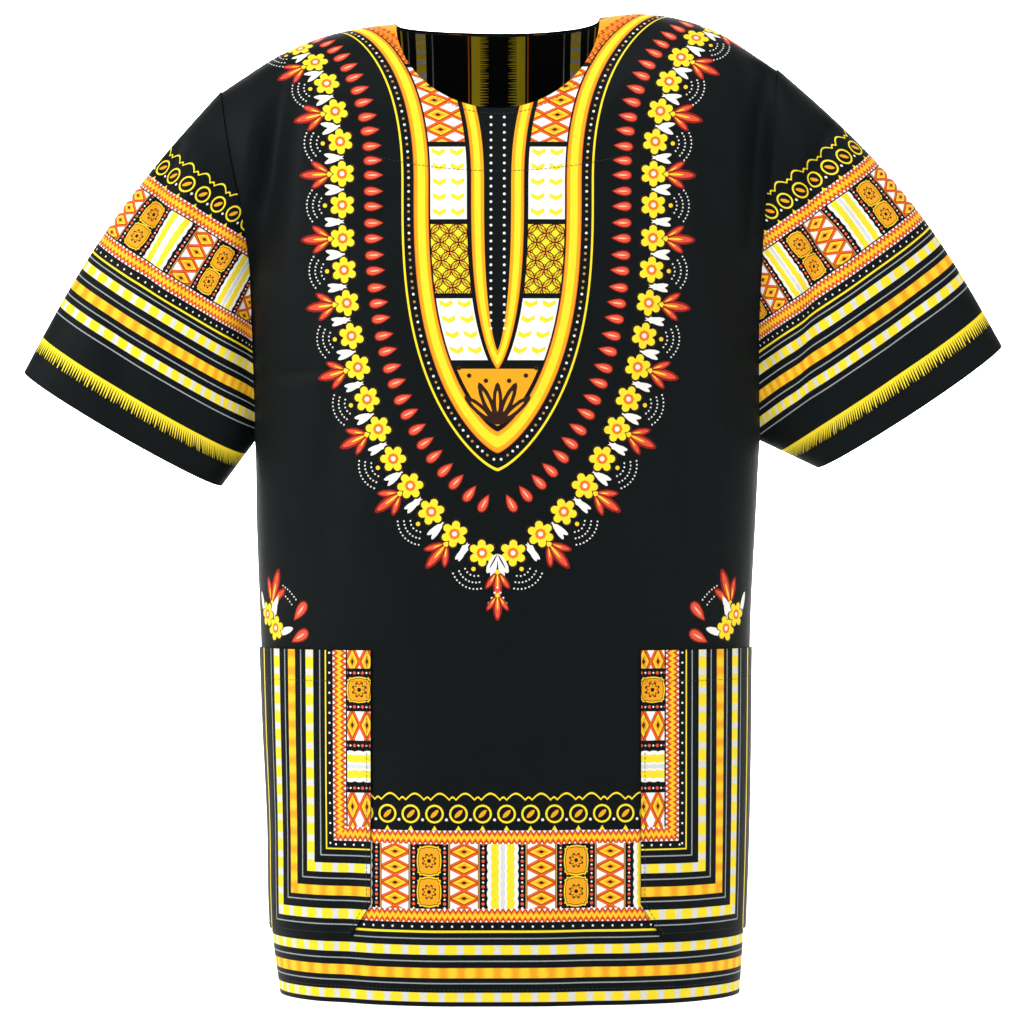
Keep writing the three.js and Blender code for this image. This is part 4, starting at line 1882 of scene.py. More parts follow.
@dataclass(frozen=True)
class IkatBand:
    """Blobs of one colour with feathered, pointed gaps of another, as tie-dyed yarn gives."""

    width: float
    pitch: float
    blob: str
    gap: str
    gap_share: float
    feather: float

    def paint(self, along: Measure, across: Measure) -> Paint:
        """The colours over the band.

        Args:
            along: distance along the band.
            across: distance across it.

        Returns:
            The colour socket.
        """
        bow = (across * (1 / self.width) - 0.5).size() * 0.16
        rough = (across * 1.7 + along * 0.07).noise(1.0) * 0.12
        place = along.fold(self.pitch) + bow + rough
        edge = 0.5 - self.gap_share / 2
        low, high = edge - self.feather, edge + self.feather
        stops = ((0.0, self.blob), (low, self.blob), (high, self.gap))
        return place.coloured(stops, soft=True)


@dataclass(frozen=True)
class DiamondColumn:
    """Diamonds with dark eyes in a red lattice on white."""

    width: float
    pitch: float

    def paint(self, along: Measure, across: Measure) -> Paint:
        """The colours over the column.

        Args:
            along: distance along the band.
            across: distance across it.

        Returns:
            The colour socket.
        """
        half = self.width / 2
        off = (across.fold(half * 2) * 2).size()
        near = (along.fold(self.pitch) * 2 + off * 0.86) * 0.5
        stops = (
            (0.0, BROWN_DYE),
            (0.085, DEEP_RED_DYE),
            (0.11, AMBER_DYE),
            (0.22, GOLD_DYE),
            (0.37, BROWN_DYE),
            (0.39, SCARLET_DYE),
            (0.5, AMBER_DYE),
            (0.52, SCARLET_DYE),
            (0.6, WHITE_DYE),
        )
        return near.coloured(stops)


@dataclass(frozen=True)
class ChevronColumn:
    """Two columns of small, separate chevrons on white."""

    width: float
    pitch: float

    def paint(self, along: Measure, across: Measure) -> Paint:
        """The colours over the column.

        Args:
            along: distance along the band.
            across: distance across it.

        Returns:
            The colour socket.
        """
        from_point = across.fold(self.width / 2)
        slope = (from_point - 0.5) * 0.62
        depth = (along * (1 / self.pitch) + slope).worked("FRACT")
        outside = from_point.worked("GREATER_THAN", 0.36)
        return (depth + outside).coloured(((0.0, LEMON_DYE), (0.3, WHITE_DYE)))


@dataclass(frozen=True)
class StrokeBand:
    """Short strokes side by side, as a fringe."""

    pitch: float
    length: float = 10.0
    taper: float = 0.42
    colour: str = LEMON_DYE

    def paint(self, along: Measure, across: Measure) -> Paint:
        """The colours over the band.

        Args:
            along: distance along the band.
            across: distance across it.

        Returns:
            The colour socket.
        """
        uneven = along.noise(1 / self.pitch) * 1.1
        fade = across * (-1 / self.length) + uneven + 0.72
        stroke = along.fold(self.pitch) + fade * self.taper
        return stroke.coloured(((0.0, self.colour), (0.34, GROUND_DYE)))


@dataclass(frozen=True)
class ScallopedBox:
    """A pale ikat box between scalloped edges, with two bright stripes along it."""

    width: float
    scallop: float = 7.0

    def paint(self, along: Measure, across: Measure) -> Paint:
        """The colours over the box.

        Args:
            along: distance along the band.
            across: distance across it.

        Returns:
            The colour socket.
        """
        bow = along.fold(self.scallop)
        off = (across * (1 / self.width) - 0.5).size() * 2 + bow * bow * 0.28
        stops = (
            (0.0, GREY_DYE),
            (0.16, WHITE_DYE),
            (0.27, LEMON_DYE),
            (0.74, WHITE_DYE),
            (0.98, GROUND_DYE),
        )
        return off.coloured(stops)


@dataclass(frozen=True)
class RingLattice:
    """Rings that overlap their neighbours, outlined in brown on orange, with bright hearts."""

    pitch: float

    def paint(self, along: Measure, across: Measure) -> Paint:
        """The colours over the lattice.

        Args:
            along: distance along the band.
            across: distance across it.

        Returns:
            The colour socket.
        """
        layers = []
        for phase in (0.0, 0.5):
            u = along.fold(self.pitch, phase)
            v = across.fold(self.pitch, phase)
            layers.append((u * u + v * v).worked("SQRT"))
        near = layers[0].worked("MINIMUM", layers[1])
        far = layers[0].worked("MAXIMUM", layers[1])
        stops = (
            (0.0, LEMON_DYE),
            (0.2, BROWN_DYE),
            (0.23, LEMON_DYE),
            (0.31, BROWN_DYE),
            (0.34, AMBER_DYE),
        )
        heart = near.coloured(stops)
        ring = (far - 0.5).size().coloured(((0.0, BROWN_DYE), (0.03, WHITE_DYE)))
        return mixed("DARKEN", heart, ring)


Dye = (
    PlainDye
    | ZigzagBand
    | DotRow
    | IkatBand
    | DiamondColumn
    | ChevronColumn
    | StrokeBand
    | ScallopedBox
    | RingLattice
)

DYES: dict[Ink, Dye] = {
    Ink.GROUND: PlainDye(GROUND_DYE),
    Ink.LEMON: PlainDye(LEMON_DYE),
    Ink.GOLD: PlainDye(GOLD_DYE),
    Ink.AMBER: PlainDye(AMBER_DYE),
    Ink.ORANGE: PlainDye(ORANGE_DYE),
    Ink.CORAL: PlainDye(CORAL_DYE),
    Ink.DEEP_RED: PlainDye(DEEP_RED_DYE),
    Ink.BLUSH: PlainDye(BLUSH_DYE),
    Ink.WHITE: PlainDye(WHITE_DYE),
    Ink.BROWN: PlainDye(BROWN_DYE),
    Ink.TAN: PlainDye(TAN_DYE),
    Ink.ZIGZAG: ZigzagBand(11.0),
    Ink.HATCH: ZigzagBand(12.0, 5.2, ORANGE_DYE, AMBER_DYE),
    Ink.FINE_DOTS: DotRow(1.2, 2.4, 0.55, DOT_DYE, DOT_DYE),
    Ink.DOT_ROW: DotRow(2.4, 7.8, 0.8),
    Ink.LOZENGE_ROW: DotRow(3.8, 6.6, 1.25, WHITE_DYE, CORAL_DYE, 0.6),
    Ink.IKAT: IkatBand(7.6, 14.4, LEMON_DYE, GREY_DYE, 0.27, 0.045),
    Ink.ORANGE_IKAT: IkatBand(8.6, 14.0, GOLD_DYE, AMBER_DYE, 0.4, 0.12),
    Ink.DIAMONDS: DiamondColumn(21.4, 12.0),
    Ink.CHEVRONS: ChevronColumn(28.4, 12.0),
    Ink.FRINGE: StrokeBand(2.5),
    Ink.LATTICE: RingLattice(14.2),
    Ink.SCALLOPED: ScallopedBox(25.0),
}


@dataclass(frozen=True)
class PrintedCotton:
    """Wax-printed cotton: a close plain weave, matt, with a faint bloom from its short fibres."""

    thread: float = 1.1  # a thread is 0.3 mm, too fine to show, so it is drawn coarser
    relief: float = 0.05
    roughness: float = 0.58
    bloom: float = 0.01
    gloss: float = 0.09

    def material(self, ink: Ink) -> bpy.types.Material:
        """Makes the material of one ink.

        Args:
            ink: the flat colour or repeat.

        Returns:
            The material.
        """
        made = bpy.data.materials.new(f"printed cotton, {ink.value}")
        made.use_nodes = True
        tree = made.node_tree
        tree.nodes.clear()
        output = add_node(tree, "ShaderNodeOutputMaterial")
        colour = DYES[ink].paint(*mapped(tree, "band"))
        turn = 2 * math.pi / self.thread
        warp, weft = ((place * turn).worked("SINE") for place in mapped(tree, "cloth"))
        crossing = (warp * weft) * 0.5 + 0.5
        bump = add_node(
            tree,
            "ShaderNodeBump",
            inputs={"Height": crossing.socket, "Strength": 0.5, "Distance": self.relief * MM},
        )
        shader = add_node(
            tree,
            "ShaderNodeBsdfPrincipled",
            inputs={
                "Base Color": colour,
                "Roughness": self.roughness,
                "Normal": bump.outputs[0],
                "IOR": 1.5,
                "Specular IOR Level": self.gloss,
                "Sheen Weight": self.bloom,
                "Sheen Roughness": 0.5,
            },
        )
        tree.links.new(output.inputs[0], shader.outputs[0])
        return made


@dataclass(frozen=True)
class PlainFinish:
    """An even surface, such as sewing thread or a painted studio floor."""

    name: str
    colour: str
    roughness: float

    def material(self) -> bpy.types.Material:
        """Makes the material.

        Returns:
            The material.
        """
        made = bpy.data.materials.new(self.name)
        made.use_nodes = True
        shader = made.node_tree.nodes["Principled BSDF"]
        shader.inputs["Base Color"].default_value = linear(self.colour)
        shader.inputs["Roughness"].default_value = self.roughness
        return made


THREAD = PlainFinish("black polyester sewing thread", "1c1f20", 0.55)
FLOOR = PlainFinish("matt white studio floor", "f4f4f2", 0.9)


class Palette:
    """The inks' materials, each made once."""

    def __init__(self, finish: PrintedCotton) -> None:
        """Makes a material for each ink, in the inks' order."""
        self.inks = list(Ink)
        self.materials = [finish.material(ink) for ink in self.inks]

    def index(self, ink: Ink) -> int:
        """The material slot of an ink."""
        return self.inks.index(ink)


# ---------------------------------------------------------------- cloth pieces


def new_object(name: str, data: bpy.types.ID) -> bpy.types.Object:
    """Makes an object of a mesh, curve, light or camera and puts it in the scene.

    Args:
        name: the object's name.
        data: what it shows.

    Returns:
        The object.
    """
    made = bpy.data.objects.new(name, data)
    bpy.context.scene.collection.objects.link(made)
    return made


@dataclass
class ClothPiece:
    """A printed sheet of cotton: cut flat, printed, laid on its form and given its thickness."""

    name: str
    lay: Lay
    outline: Array
    art: Artwork
    palette: Palette
    thickness: float = 1.3
    lift: float = 0.0
    spacing: float = 5.5
    flat: Array = field(init=False)
    triangles: Array = field(init=False)
    owners: Array = field(init=False)

    def __post_init__(self) -> None:
        """Cuts the flat cloth into triangles along every printed edge."""
        shapes = [self.outline] + [shape.outline for shape in self.art.shapes]
        places: list[Vector] = []
        faces: list[list[int]] = []
        for shape in shapes:
            corners = self.with_corners(shape)
            area = np.sum(corners[:, 0] * np.roll(corners[:, 1], -1))
            area -= np.sum(corners[:, 1] * np.roll(corners[:, 0], -1))
            if area < 0:
                corners = corners[::-1]
            faces.append(list(range(len(places), len(places) + len(corners))))
            places.extend(Vector(place) for place in corners.tolist())
        places.extend(Vector(place) for place in self.grid().tolist())
        made = delaunay_2d_cdt(places, [], faces, 0, 1e-5, True)
        verts, _, tris, _, _, owners = made
        kept = [(tri, max(own)) for tri, own in zip(tris, owners) if own and min(own) == 0]
        triangles = np.array([tri for tri, _ in kept])
        self.owners = np.array([own for _, own in kept])
        used, renumbered = np.unique(triangles, return_inverse=True)
        self.flat = np.array([tuple(v) for v in verts])[used]
        self.triangles = renumbered.reshape(-1, 3)

    def with_corners(self, shape: Array) -> Array:
        """A closed outline with its corners kept and its long edges divided.

        Args:
            shape: the outline.

        Returns:
            Its corners and the places between them.
        """
        parts = []
        for start, end in zip(shape, np.roll(shape, -1, axis=0)):
            count = max(1, math.ceil(np.linalg.norm(end - start) / self.spacing))
            share = np.arange(count)[:, None] / count
            parts.append(start + (end - start) * share)
        return np.concatenate(parts)

    def grid(self) -> Array:
        """Evenly spread places over the cut, in staggered rows.

        Returns:
            Flat places, one row each.
        """
        low = self.outline.min(axis=0)
        high = self.outline.max(axis=0)
        rows = np.arange(low[1] + 2.1, high[1], self.spacing * 0.87)
        places = []
        for i, down in enumerate(rows):
            across = np.arange(low[0] + (i % 2) * self.spacing / 2 + 1.3, high[0], self.spacing)
            places.append(np.stack([across, np.full_like(across, down)], axis=1))
        return np.concatenate(places)

    def laid_area(self) -> float:
        """Area in square metres of the cloth as it lies, which cotton keeps from its cut.

        Returns:
            The area.
        """
        outer = self.lay.points(self.flat)
        a, b, c = (outer[self.triangles[:, i]] for i in range(3))
        return float(np.linalg.norm(np.cross(b - a, c - a), axis=1).sum() / 2) * MM * MM

    def flat_size(self) -> tuple[float, float]:
        """Width and length of the cut in metres."""
        size = (self.flat.max(axis=0) - self.flat.min(axis=0)) * MM
        return float(size[0]), float(size[1])

    def build(self) -> bpy.types.Object:
        """Lays the cloth on its form.

        Returns:
            The object, closed all round.
        """
        normals = self.lay.normals(self.flat)
        outer = self.lay.points(self.flat) + normals * self.lift
        inner = outer - normals * self.thickness
        count = len(self.flat)
        a, b, c = (outer[self.triangles[:, i]] for i in range(3))
        facing = np.einsum("ij,ij->", np.cross(b - a, c - a), normals[self.triangles[:, 0]])
        skin = self.triangles if facing > 0 else self.triangles[:, ::-1]
        rim = self.rim(skin)
        faces = np.concatenate([skin, skin[:, ::-1] + count, rim])
        rim_ink = np.full(len(rim), self.palette.index(Ink.GROUND))
        inks = np.array([self.palette.index(Ink.GROUND)] + self.shape_inks())[self.owners]
        materials = np.concatenate([inks, inks, rim_ink])
        mesh = bpy.data.meshes.new(self.name)
        points = np.concatenate([outer, inner]) * MM
        mesh.from_pydata(points.tolist(), [], faces.tolist())
        for material in self.palette.materials:
            mesh.materials.append(material)
        mesh.polygons.foreach_set("material_index", materials.astype(np.int32))
        corners = faces.reshape(-1) % count
        owners = np.concatenate([self.owners, self.owners, np.zeros(len(rim), int)])
        self.write_map(mesh, "cloth", self.flat[corners])
        self.write_map(mesh, "band", self.band_places(corners, np.repeat(owners, 3)))
        self.write_map(mesh, "OFBake", self.bake_places(faces, len(skin), count))
        mesh.polygons.foreach_set("use_smooth", np.ones(len(faces), bool))
        mesh.update()
        seen = np.concatenate([normals, -normals])
        mesh.normals_split_custom_set_from_vertices(seen.tolist())
        made = new_object(self.name, mesh)
        log.info("%s: %d triangles, %.3f m2 of cloth", self.name, len(faces), self.laid_area())
        return made

    def shape_inks(self) -> list[int]:
        """The material slot of each printed shape."""
        return [self.palette.index(shape.ink) for shape in self.art.shapes]

    def rim(self, skin: Array) -> Array:
        """Triangles that join the outer and inner skins along the cut edge.

        Args:
            skin: the outer skin's triangles.

        Returns:
            The rim's triangles.
        """
        count = len(self.flat)
        edges = np.concatenate([skin[:, [0, 1]], skin[:, [1, 2]], skin[:, [2, 0]]])
        keys = edges[:, 0] * count + edges[:, 1]
        back = edges[:, 1] * count + edges[:, 0]
        start, end = edges[~np.isin(keys, back)].T
        first = np.stack([start, start + count, end + count], axis=1)
        second = np.stack([start, end + count, end], axis=1)
        return np.concatenate([first, second])

    def band_places(self, corners: Array, owners: Array) -> Array:
        """Where each corner lies in the band that its triangle belongs to.

        Args:
            corners: the number of each face corner's flat place.
            owners: the number of the shape that each corner's triangle belongs to.

        Returns:
            One (along, across) row for each corner.
        """
        places = np.zeros((len(corners), 2))
        for number, shape in enumerate(self.art.shapes, 1):
            if shape.band is None:
                continue
            here = owners == number
            if here.any():
                places[here] = shape.band(self.flat[corners[here]])
        return places

    def bake_places(self, faces: Array, skin_count: int, count: int) -> Array:
        """A map with the outer skin in its left half and the inner one in its right half.

        Args:
            faces: all triangles.
            skin_count: how many of them each skin has.
            count: how many flat places there are.

        Returns:
            One place for each face corner.
        """
        low = self.flat.min(axis=0)
        size = self.flat.max(axis=0) - low
        share = (self.flat - low) / size
        spread = share * [0.46, 0.92] + [0.02, 0.04]
        corners = faces.reshape(-1)
        places = spread[corners % count]
        places[:, 0] += np.where(corners >= count, 0.5, 0.0)
        rim = np.arange(len(corners)) >= skin_count * 6
        number = np.arange(len(corners)) % 3
        strip = np.stack([0.02 + 0.96 * share[corners % count, 0], 0.005 + 0.01 * number], axis=1)
        places[rim] = strip[rim]
        return places

    @staticmethod
    def write_map(mesh: bpy.types.Mesh, name: str, places: Array) -> None:
        """Stores a value pair for each face corner as a UV map."""
        layer = mesh.uv_layers.new(name=name)
        layer.uv.foreach_set("vector", places.astype(np.float32).reshape(-1))


def declare(
    made: bpy.types.Object,
    name: str,
    slot: str,
    cuts: Sequence[ClothPiece],
) -> bpy.types.Object:
    """Hangs a cloth piece on the root and hides the solid that it stands for.

    Args:
        made: the piece.
        name: the solid that it stands for.
        slot: not used.
        cuts: the sheets that it is made of, end to end.

    Returns:
        The piece.
    """
    sizes = [cut.flat_size() for cut in cuts]
    area = sum(cut.laid_area() for cut in cuts)
    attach(made, "root")
    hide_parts(name)
    return made


@dataclass
class Panel:
    """The front or the back of the tunic."""

    name: str
    lay: PanelLay
    art: Artwork
    palette: Palette
    slot: str = "body_cotton"

    def build(self) -> bpy.types.Object:
        """Makes the panel, hangs it on the root and hides the solid that it stands for."""
        cloth = ClothPiece(self.name, self.lay, self.lay.outline(), self.art, self.palette)
        return declare(cloth.build(), self.name, self.slot, [cloth])


@dataclass
class Sleeve:
    """A short, wide sleeve, cut in one piece and sewn up under the arm."""

    name: str
    lay: SleeveLay
    prints: TunicPrint
    palette: Palette
    slot: str = "sleeve_cotton"

    def build(self) -> bpy.types.Object:
        """Makes the sleeve, hangs it on the root and hides the solid that it stands for.

        Returns:
            The sleeve.
        """
        outline = self.lay.outline()
        art = self.prints.sleeve(float(np.abs(outline[:, 0]).max()) + 10)
        cloth = ClothPiece(self.name, self.lay, outline, art, self.palette)
        return declare(cloth.build(), self.name, self.slot, [cloth])


@dataclass
class Pocket:
    """A patch pocket sewn on the front, with one corner cut off."""

    name: str
    lay: PanelLay
    side: int
    prints: TunicPrint
    palette: Palette
    inner: float
    top: float = 501.0
    foot: float = 724.0
    corner: tuple[float, float] = (17.0, 26.0)
    lift: float = 1.7
    slot: str = "pocket_cotton"

    def outline(self) -> Array:
        """The pocket's cut edge on the front's own flat cloth.

        Returns:
            Flat places, one row each.
        """
        height = -(self.top + self.foot) / 2
        across = abs(self.lay.flat_of(np.array([self.side * self.inner]), np.array([height]))[0, 0])
        z = -np.linspace(self.foot, self.top, 40)
        wide = self.lay.form.half_width(np.full(40, self.side), z) * self.side
        seam = np.abs(self.lay.flat_of(wide, z))
        corners = np.array(
            [[across, self.top], [across, self.foot - self.corner[1]]]
            + [[across + self.corner[0], self.foot]]
        )
        return np.concatenate([corners, seam]) * [self.side, 1]

    def build(self) -> bpy.types.Object:
        """Makes the pocket, hangs it on the root and hides the solid that it stands for.

        Returns:
            The pocket.
        """
        outline = self.outline()
        art = self.prints.pocket(self.side, abs(float(outline[0, 0])), self.top)
        cloth = ClothPiece(
            self.name, self.lay, outline, art, self.palette, thickness=1.2, lift=self.lift
        )
        return declare(cloth.build(), self.name, self.slot, [cloth])


@dataclass
class NeckFacing:
    """The facing inside the neckline: a front and a back half, joined at the shoulders."""

    name: str
    lays: dict[Face, PanelLay]
    prints: TunicPrint
    palette: Palette
    half_width: float = 137.0
    reach: dict[Face, float] = field(default_factory=lambda: {Face.FRONT: 132.0, Face.BACK: 88.0})
    sink: float = 2.1
    slot: str = "facing_cotton"

    def outline(self, face: Face) -> Array:
        """The cut edge of one half.

        Args:
            face: the side of the tunic.

        Returns:
            Flat places, one row each.
        """
        lay = self.lays[face]
        form = lay.form
        angles = half_turn(61)
        neck_x = form.neck_half_width * np.sin(angles)
        neck = lay.flat_of(neck_x, form.neckline(face, neck_x))
        right_x = np.linspace(form.neck_half_width, self.half_width, 16)[1:]
        right = lay.flat_of(right_x, form.ridge(right_x))
        low_x = self.half_width * np.sin(angles[::-1])
        corner = form.ridge(np.sign(low_x) * self.half_width)
        low_z = corner - (self.reach[face] + corner) * np.cos(angles[::-1]) ** 0.8
        low = lay.flat_of(low_x, low_z)[1:-1]
        left_x = -right_x[::-1]
        left = lay.flat_of(left_x, form.ridge(left_x))
        return np.concatenate([neck, right, low, left])

    def build(self) -> bpy.types.Object:
        """Makes both halves as one piece, hangs it on the root and hides the solid that it stands
        for.

        Returns:
            The facing.
        """
        cuts = [
            ClothPiece(
                f"{self.name}_{face.name.lower()}",
                self.lays[face],
                self.outline(face),
                self.prints.facing(),
                self.palette,
                thickness=1.1,
                lift=-self.sink,
            )
            for face in Face
        ]
        halves = [cut.build() for cut in cuts]
        with bpy.context.temp_override(
            active_object=halves[0], selected_editable_objects=halves, selected_objects=halves
        ):
            bpy.ops.object.join()
        made = halves[0]
        made.name = self.name
        made.data.name = self.name
        return declare(made, self.name, self.slot, cuts)


# ---------------------------------------------------------------- stitching


@dataclass
class Stitching:
    """Rows of machine stitches, laid along the cloth's edges by geometry nodes."""

    name: str = "topstitching"
    pitch: float = 3.4
    length: float = 2.5
    thread: float = 0.5
    rise: float = 0.25
    rows: list[Array] = field(default_factory=list)

    def follow(self, lay: Lay, line: Array, lift: float = 0.0) -> None:
        """Adds a row of stitches along a line on a piece of cloth.

        Args:
            lay: how the cloth lies.
            line: flat places.
            lift: how far that cloth stands off its form.
        """
        flat = spaced_along(line, 4.0)
        self.rows.append(lay.points(flat) + lay.normals(flat) * (lift + self.rise))

    def tree(self, material: bpy.types.Material) -> bpy.types.NodeTree:
        """The node tree that turns a curve into stitches.

        Args:
            material: the thread's material.

        Returns:
            The tree.
        """
        tree = bpy.data.node_groups.new("machine stitches", "GeometryNodeTree")
        face = tree.interface
        face.new_socket("Geometry", in_out="INPUT", socket_type="NodeSocketGeometry")
        for name in ("Pitch", "Stitch length", "Thread width"):
            face.new_socket(name, in_out="INPUT", socket_type="NodeSocketFloat")
        face.new_socket("Geometry", in_out="OUTPUT", socket_type="NodeSocketGeometry")
        start = add_node(tree, "NodeGroupInput")
        spots = add_node(
            tree,
            "GeometryNodeCurveToPoints",
            {"mode": "LENGTH"},
            {"Curve": start.outputs["Geometry"], "Length": start.outputs["Pitch"]},
        )
        ball = add_node(
            tree, "GeometryNodeMeshUVSphere", inputs={"Segments": 6, "Rings": 4, "Radius": 0.5}
        )
        size = add_node(
            tree,
            "ShaderNodeCombineXYZ",
            inputs={
                "X": start.outputs["Thread width"],
                "Y": start.outputs["Thread width"],
                "Z": start.outputs["Stitch length"],
            },
        )
        stitches = add_node(
            tree,
            "GeometryNodeInstanceOnPoints",
            inputs={
                "Points": spots.outputs["Points"],
                "Instance": ball.outputs["Mesh"],
                "Rotation": spots.outputs["Rotation"],
                "Scale": size.outputs[0],
            },
        )
        real = add_node(tree, "GeometryNodeRealizeInstances", inputs={0: stitches.outputs[0]})
        dressed = add_node(
            tree,
            "GeometryNodeSetMaterial",
            inputs={"Geometry": real.outputs[0], "Material": material},
        )
        end = add_node(tree, "NodeGroupOutput")
        tree.links.new(end.inputs[0], dressed.outputs[0])
        return tree

    def build(self) -> bpy.types.Object:
        """Makes the stitches as one plain mesh.

        Returns:
            The stitches.
        """
        material = THREAD.material()
        curve = bpy.data.curves.new("stitch rows", "CURVE")
        curve.dimensions = "3D"
        for row in self.rows:
            spline = curve.splines.new("POLY")
            spline.points.add(len(row) - 1)
            spline.points.foreach_set("co", np.insert(row * MM, 3, 1.0, axis=1).reshape(-1))
        path = new_object("stitch rows", curve)
        tree = self.tree(material)
        modifier = path.modifiers.new("stitches", "NODES")
        modifier.node_group = tree
        sizes = {
            "Pitch": self.pitch * MM,
            "Stitch length": self.length * MM,
            "Thread width": self.thread * MM,
        }
        for item in tree.interface.items_tree:
            if item.name in sizes:
                modifier[item.identifier] = sizes[item.name]
        bpy.context.view_layer.update()
        evaluated = path.evaluated_get(bpy.context.evaluated_depsgraph_get())
        mesh = bpy.data.meshes.new_from_object(evaluated)
        mesh.name = self.name
        path.modifiers.clear()
        bpy.data.objects.remove(path)
        made = new_object(self.name, mesh)
        mesh.polygons.foreach_set("use_smooth", np.ones(len(mesh.polygons), bool))
        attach(made, "root")
        log.info("%s: %d rows, %d faces", self.name, len(self.rows), len(mesh.polygons))
        return made


# ---------------------------------------------------------------- studio


@dataclass(frozen=True)
class Lamp:
    """A soft square light: its place, width in metres, power in watts and what it points at."""

    name: str
    at: tuple[float, float, float]
    size: float
    power: float
    towards: tuple[float, float, float] = (0.0, 0.0, -0.36)

    def build(self) -> None:
        """Adds the light to the scene."""
        data = bpy.data.lights.new(self.name, "AREA")
        data.shape = "SQUARE"
        data.size = self.size
        data.energy = self.power
        lamp = new_object(self.name, data)
        lamp.location = self.at
        aim = Vector(self.towards) - Vector(self.at)
        lamp.rotation_euler = aim.to_track_quat("-Z", "Y").to_euler()


LAMPS = (
    Lamp("key", (-2.9, -1.5, 1.2), 1.2, 74),
    Lamp("fill", (2.5, -2.3, 0.7), 2.0, 26),
    Lamp("top", (0.2, -1.3, 2.4), 1.6, 40),
    Lamp("rear", (0.6, 2.0, 1.6), 1.6, 9),
    Lamp("backdrop", (0.0, 6.5, 4.2), 5.0, 2600, (0.0, 9.5, -0.8)),
)


@dataclass
class Studio:
    """A pale floor that runs up into a backdrop, soft lights, and the camera."""

    floor_height: float = -0.83
    camera_distance: float = 3.2
    camera_across: float = 0.0112
    camera_height: float = -0.3936
    lens: float = 140.6
    sensor: float = 36.0

    def backdrop(self) -> bpy.types.Object:
        """The floor, bent up behind the tunic.

        Returns:
            The floor.
        """
        radius = 2.0
        far = 9.0  # well behind a camera that looks at the tunic's back
        profile = [(-9.0, self.floor_height), (far, self.floor_height)]
        for i in range(1, 13):
            angle = math.pi / 2 * i / 12
            profile.append(
                (far + radius * math.sin(angle), self.floor_height + radius * (1 - math.cos(angle)))
            )
        profile.append((far + radius, 9.0))
        points = [(side * 12.0, y, z) for y, z in profile for side in (-1, 1)]
        faces = [(2 * i, 2 * i + 1, 2 * i + 3, 2 * i + 2) for i in range(len(profile) - 1)]
        mesh = bpy.data.meshes.new("studio_floor")
        mesh.from_pydata(points, [], faces)
        mesh.materials.append(FLOOR.material())
        mesh.polygons.foreach_set("use_smooth", np.ones(len(faces), bool))
        floor = new_object("studio_floor", mesh)
        return floor

    def build(self) -> None:
        """Makes the floor, the lights, the sky and the camera."""
        self.backdrop()
        for lamp in LAMPS:
            lamp.build()
        world = bpy.data.worlds.new("studio air")
        world.use_nodes = True
        sky = world.node_tree.nodes["Background"]
        sky.inputs[0].default_value = (1.0, 1.0, 1.0, 1.0)
        sky.inputs[1].default_value = 0.5
        bpy.context.scene.world = world
        bpy.context.scene.view_settings.view_transform = "Standard"
        data = bpy.data.cameras.new("camera")
        data.lens = self.lens
        data.sensor_width = self.sensor
        camera = new_object("camera", data)
        camera.location = (self.camera_across, -self.camera_distance, self.camera_height)
        camera.rotation_euler = (math.pi / 2, 0.0, 0.0)
        bpy.context.scene.camera = camera


# ---------------------------------------------------------------- the whole tunic

LEFT_SLEEVE = SleeveCut(-1, -378, -282, -222, -372, 11)
RIGHT_SLEEVE = SleeveCut(1, 402, -261, 256, -357, 16)


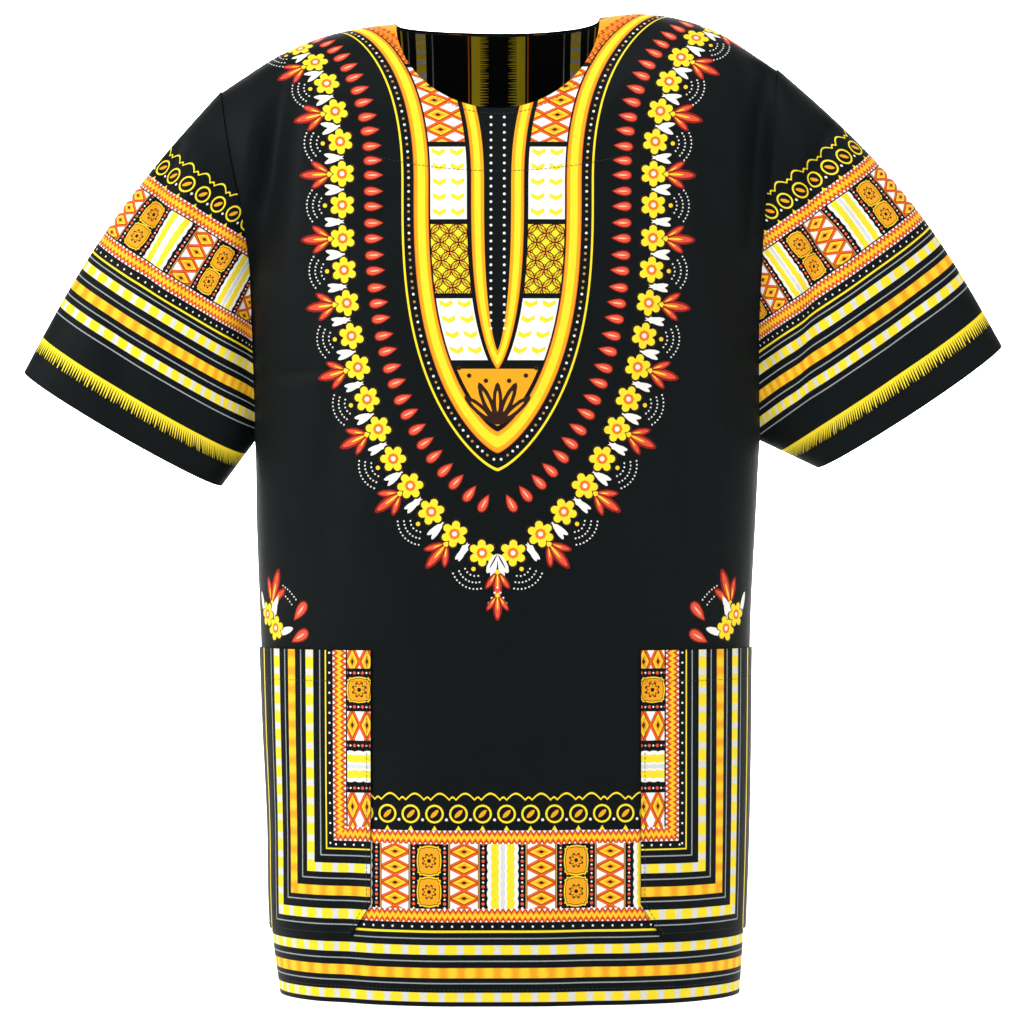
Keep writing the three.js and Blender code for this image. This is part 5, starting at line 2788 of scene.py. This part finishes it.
@dataclass
class Tunic:
    """The whole garment, and how far its rows of stitches lie from the cut edges."""

    form: TunicForm = field(default_factory=TunicForm)
    neck_inset: float = 5.0
    neck_drop: float = 4.6
    hem_inset: float = 13.0
    facing_reach: float = 50.0
    facing_half: float = 104.0
    mouth_inset: float = 24.0
    seam_share: float = 0.985  # rows stop a little short of the seams

    def stitch_rows(
        self, stitching: Stitching, lays: dict[Face, PanelLay], pockets: Iterable[Pocket]
    ) -> None:
        """Lays the rows of stitches: neckline, facing, hem and pockets.

        Args:
            stitching: the rows to add to.
            lays: the lays of the front and back.
            pockets: both pockets.
        """
        form = self.form
        x = form.neck_half_width * np.sin(half_turn(61))
        scale = 1 + self.neck_inset / form.neck_half_width
        hem_z = np.full(81, -form.hem_drop)
        hem_wide = self.seam_share * form.half_width(np.linspace(-1, 1, 81), hem_z)
        hem_x = hem_wide * np.sin(half_turn(81))
        for face, lay in lays.items():
            below = form.neckline(face, x) - self.neck_drop
            height = np.minimum(below, form.ridge(x * scale) - 1)
            edge = lay.flat_of(x * self.seam_share * scale, height)
            stitching.follow(lay, edge[3:-3])
            stitching.follow(lay, lay.flat_of(hem_x, self.hem_inset + hem_z))
        front = lays[Face.FRONT]
        low_x = np.linspace(-self.facing_half, self.facing_half, 61)
        rise = 14 * (low_x / self.facing_half) ** 2
        low_z = -form.neck_drop[Face.FRONT] - self.facing_reach + rise
        stitching.follow(front, front.flat_of(low_x, low_z))
        for pocket in pockets:
            side = [pocket.side, 1]
            edge = pocket.outline() * side
            inner = edge[0, 0] + 3.0
            outer = edge[3, 0] - 6
            foot = pocket.foot - 3.0
            mouth = pocket.top + self.mouth_inset
            turn = [inner, edge[1, 1] - 1.0]
            corner = [edge[2, 0] + 1.5, foot]
            lines = (
                [[inner, pocket.top + 2], turn],
                [turn, corner],
                [corner, [outer, foot]],
                [[inner - 2, mouth], [outer - 1, mouth]],
            )
            for line in lines:
                stitching.follow(front, np.array(line) * side, pocket.lift)

    def build(self) -> None:
        """Builds every piece in order."""
        palette = Palette(PrintedCotton())
        prints = TunicPrint()
        lays = {face: PanelLay(self.form, face) for face in Face}
        Panel("front", lays[Face.FRONT], prints.front(), palette).build()
        Panel("back", lays[Face.BACK], prints.back(), palette).build()
        for name, cut in (("sleeve_left", LEFT_SLEEVE), ("sleeve_right", RIGHT_SLEEVE)):
            Sleeve(name, SleeveLay(self.form, cut), prints, palette).build()
        pockets = [
            Pocket(name, lays[Face.FRONT], side, prints, palette, inner)
            for name, side, inner in (("pocket_left", -1, 98.0), ("pocket_right", 1, 111.0))
        ]
        for pocket in pockets:
            pocket.build()
        NeckFacing("neck_facing", lays, prints, palette).build()
        stitching = Stitching()
        self.stitch_rows(stitching, lays, pockets)
        stitching.build()


def main() -> None:
    """Builds the tunic and its studio."""
    logging.basicConfig(level=logging.INFO, format="%(name)s: %(message)s", stream=sys.stdout)
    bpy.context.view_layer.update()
    Tunic().build()
    Studio().build()


if __name__ == "__main__":
    main()
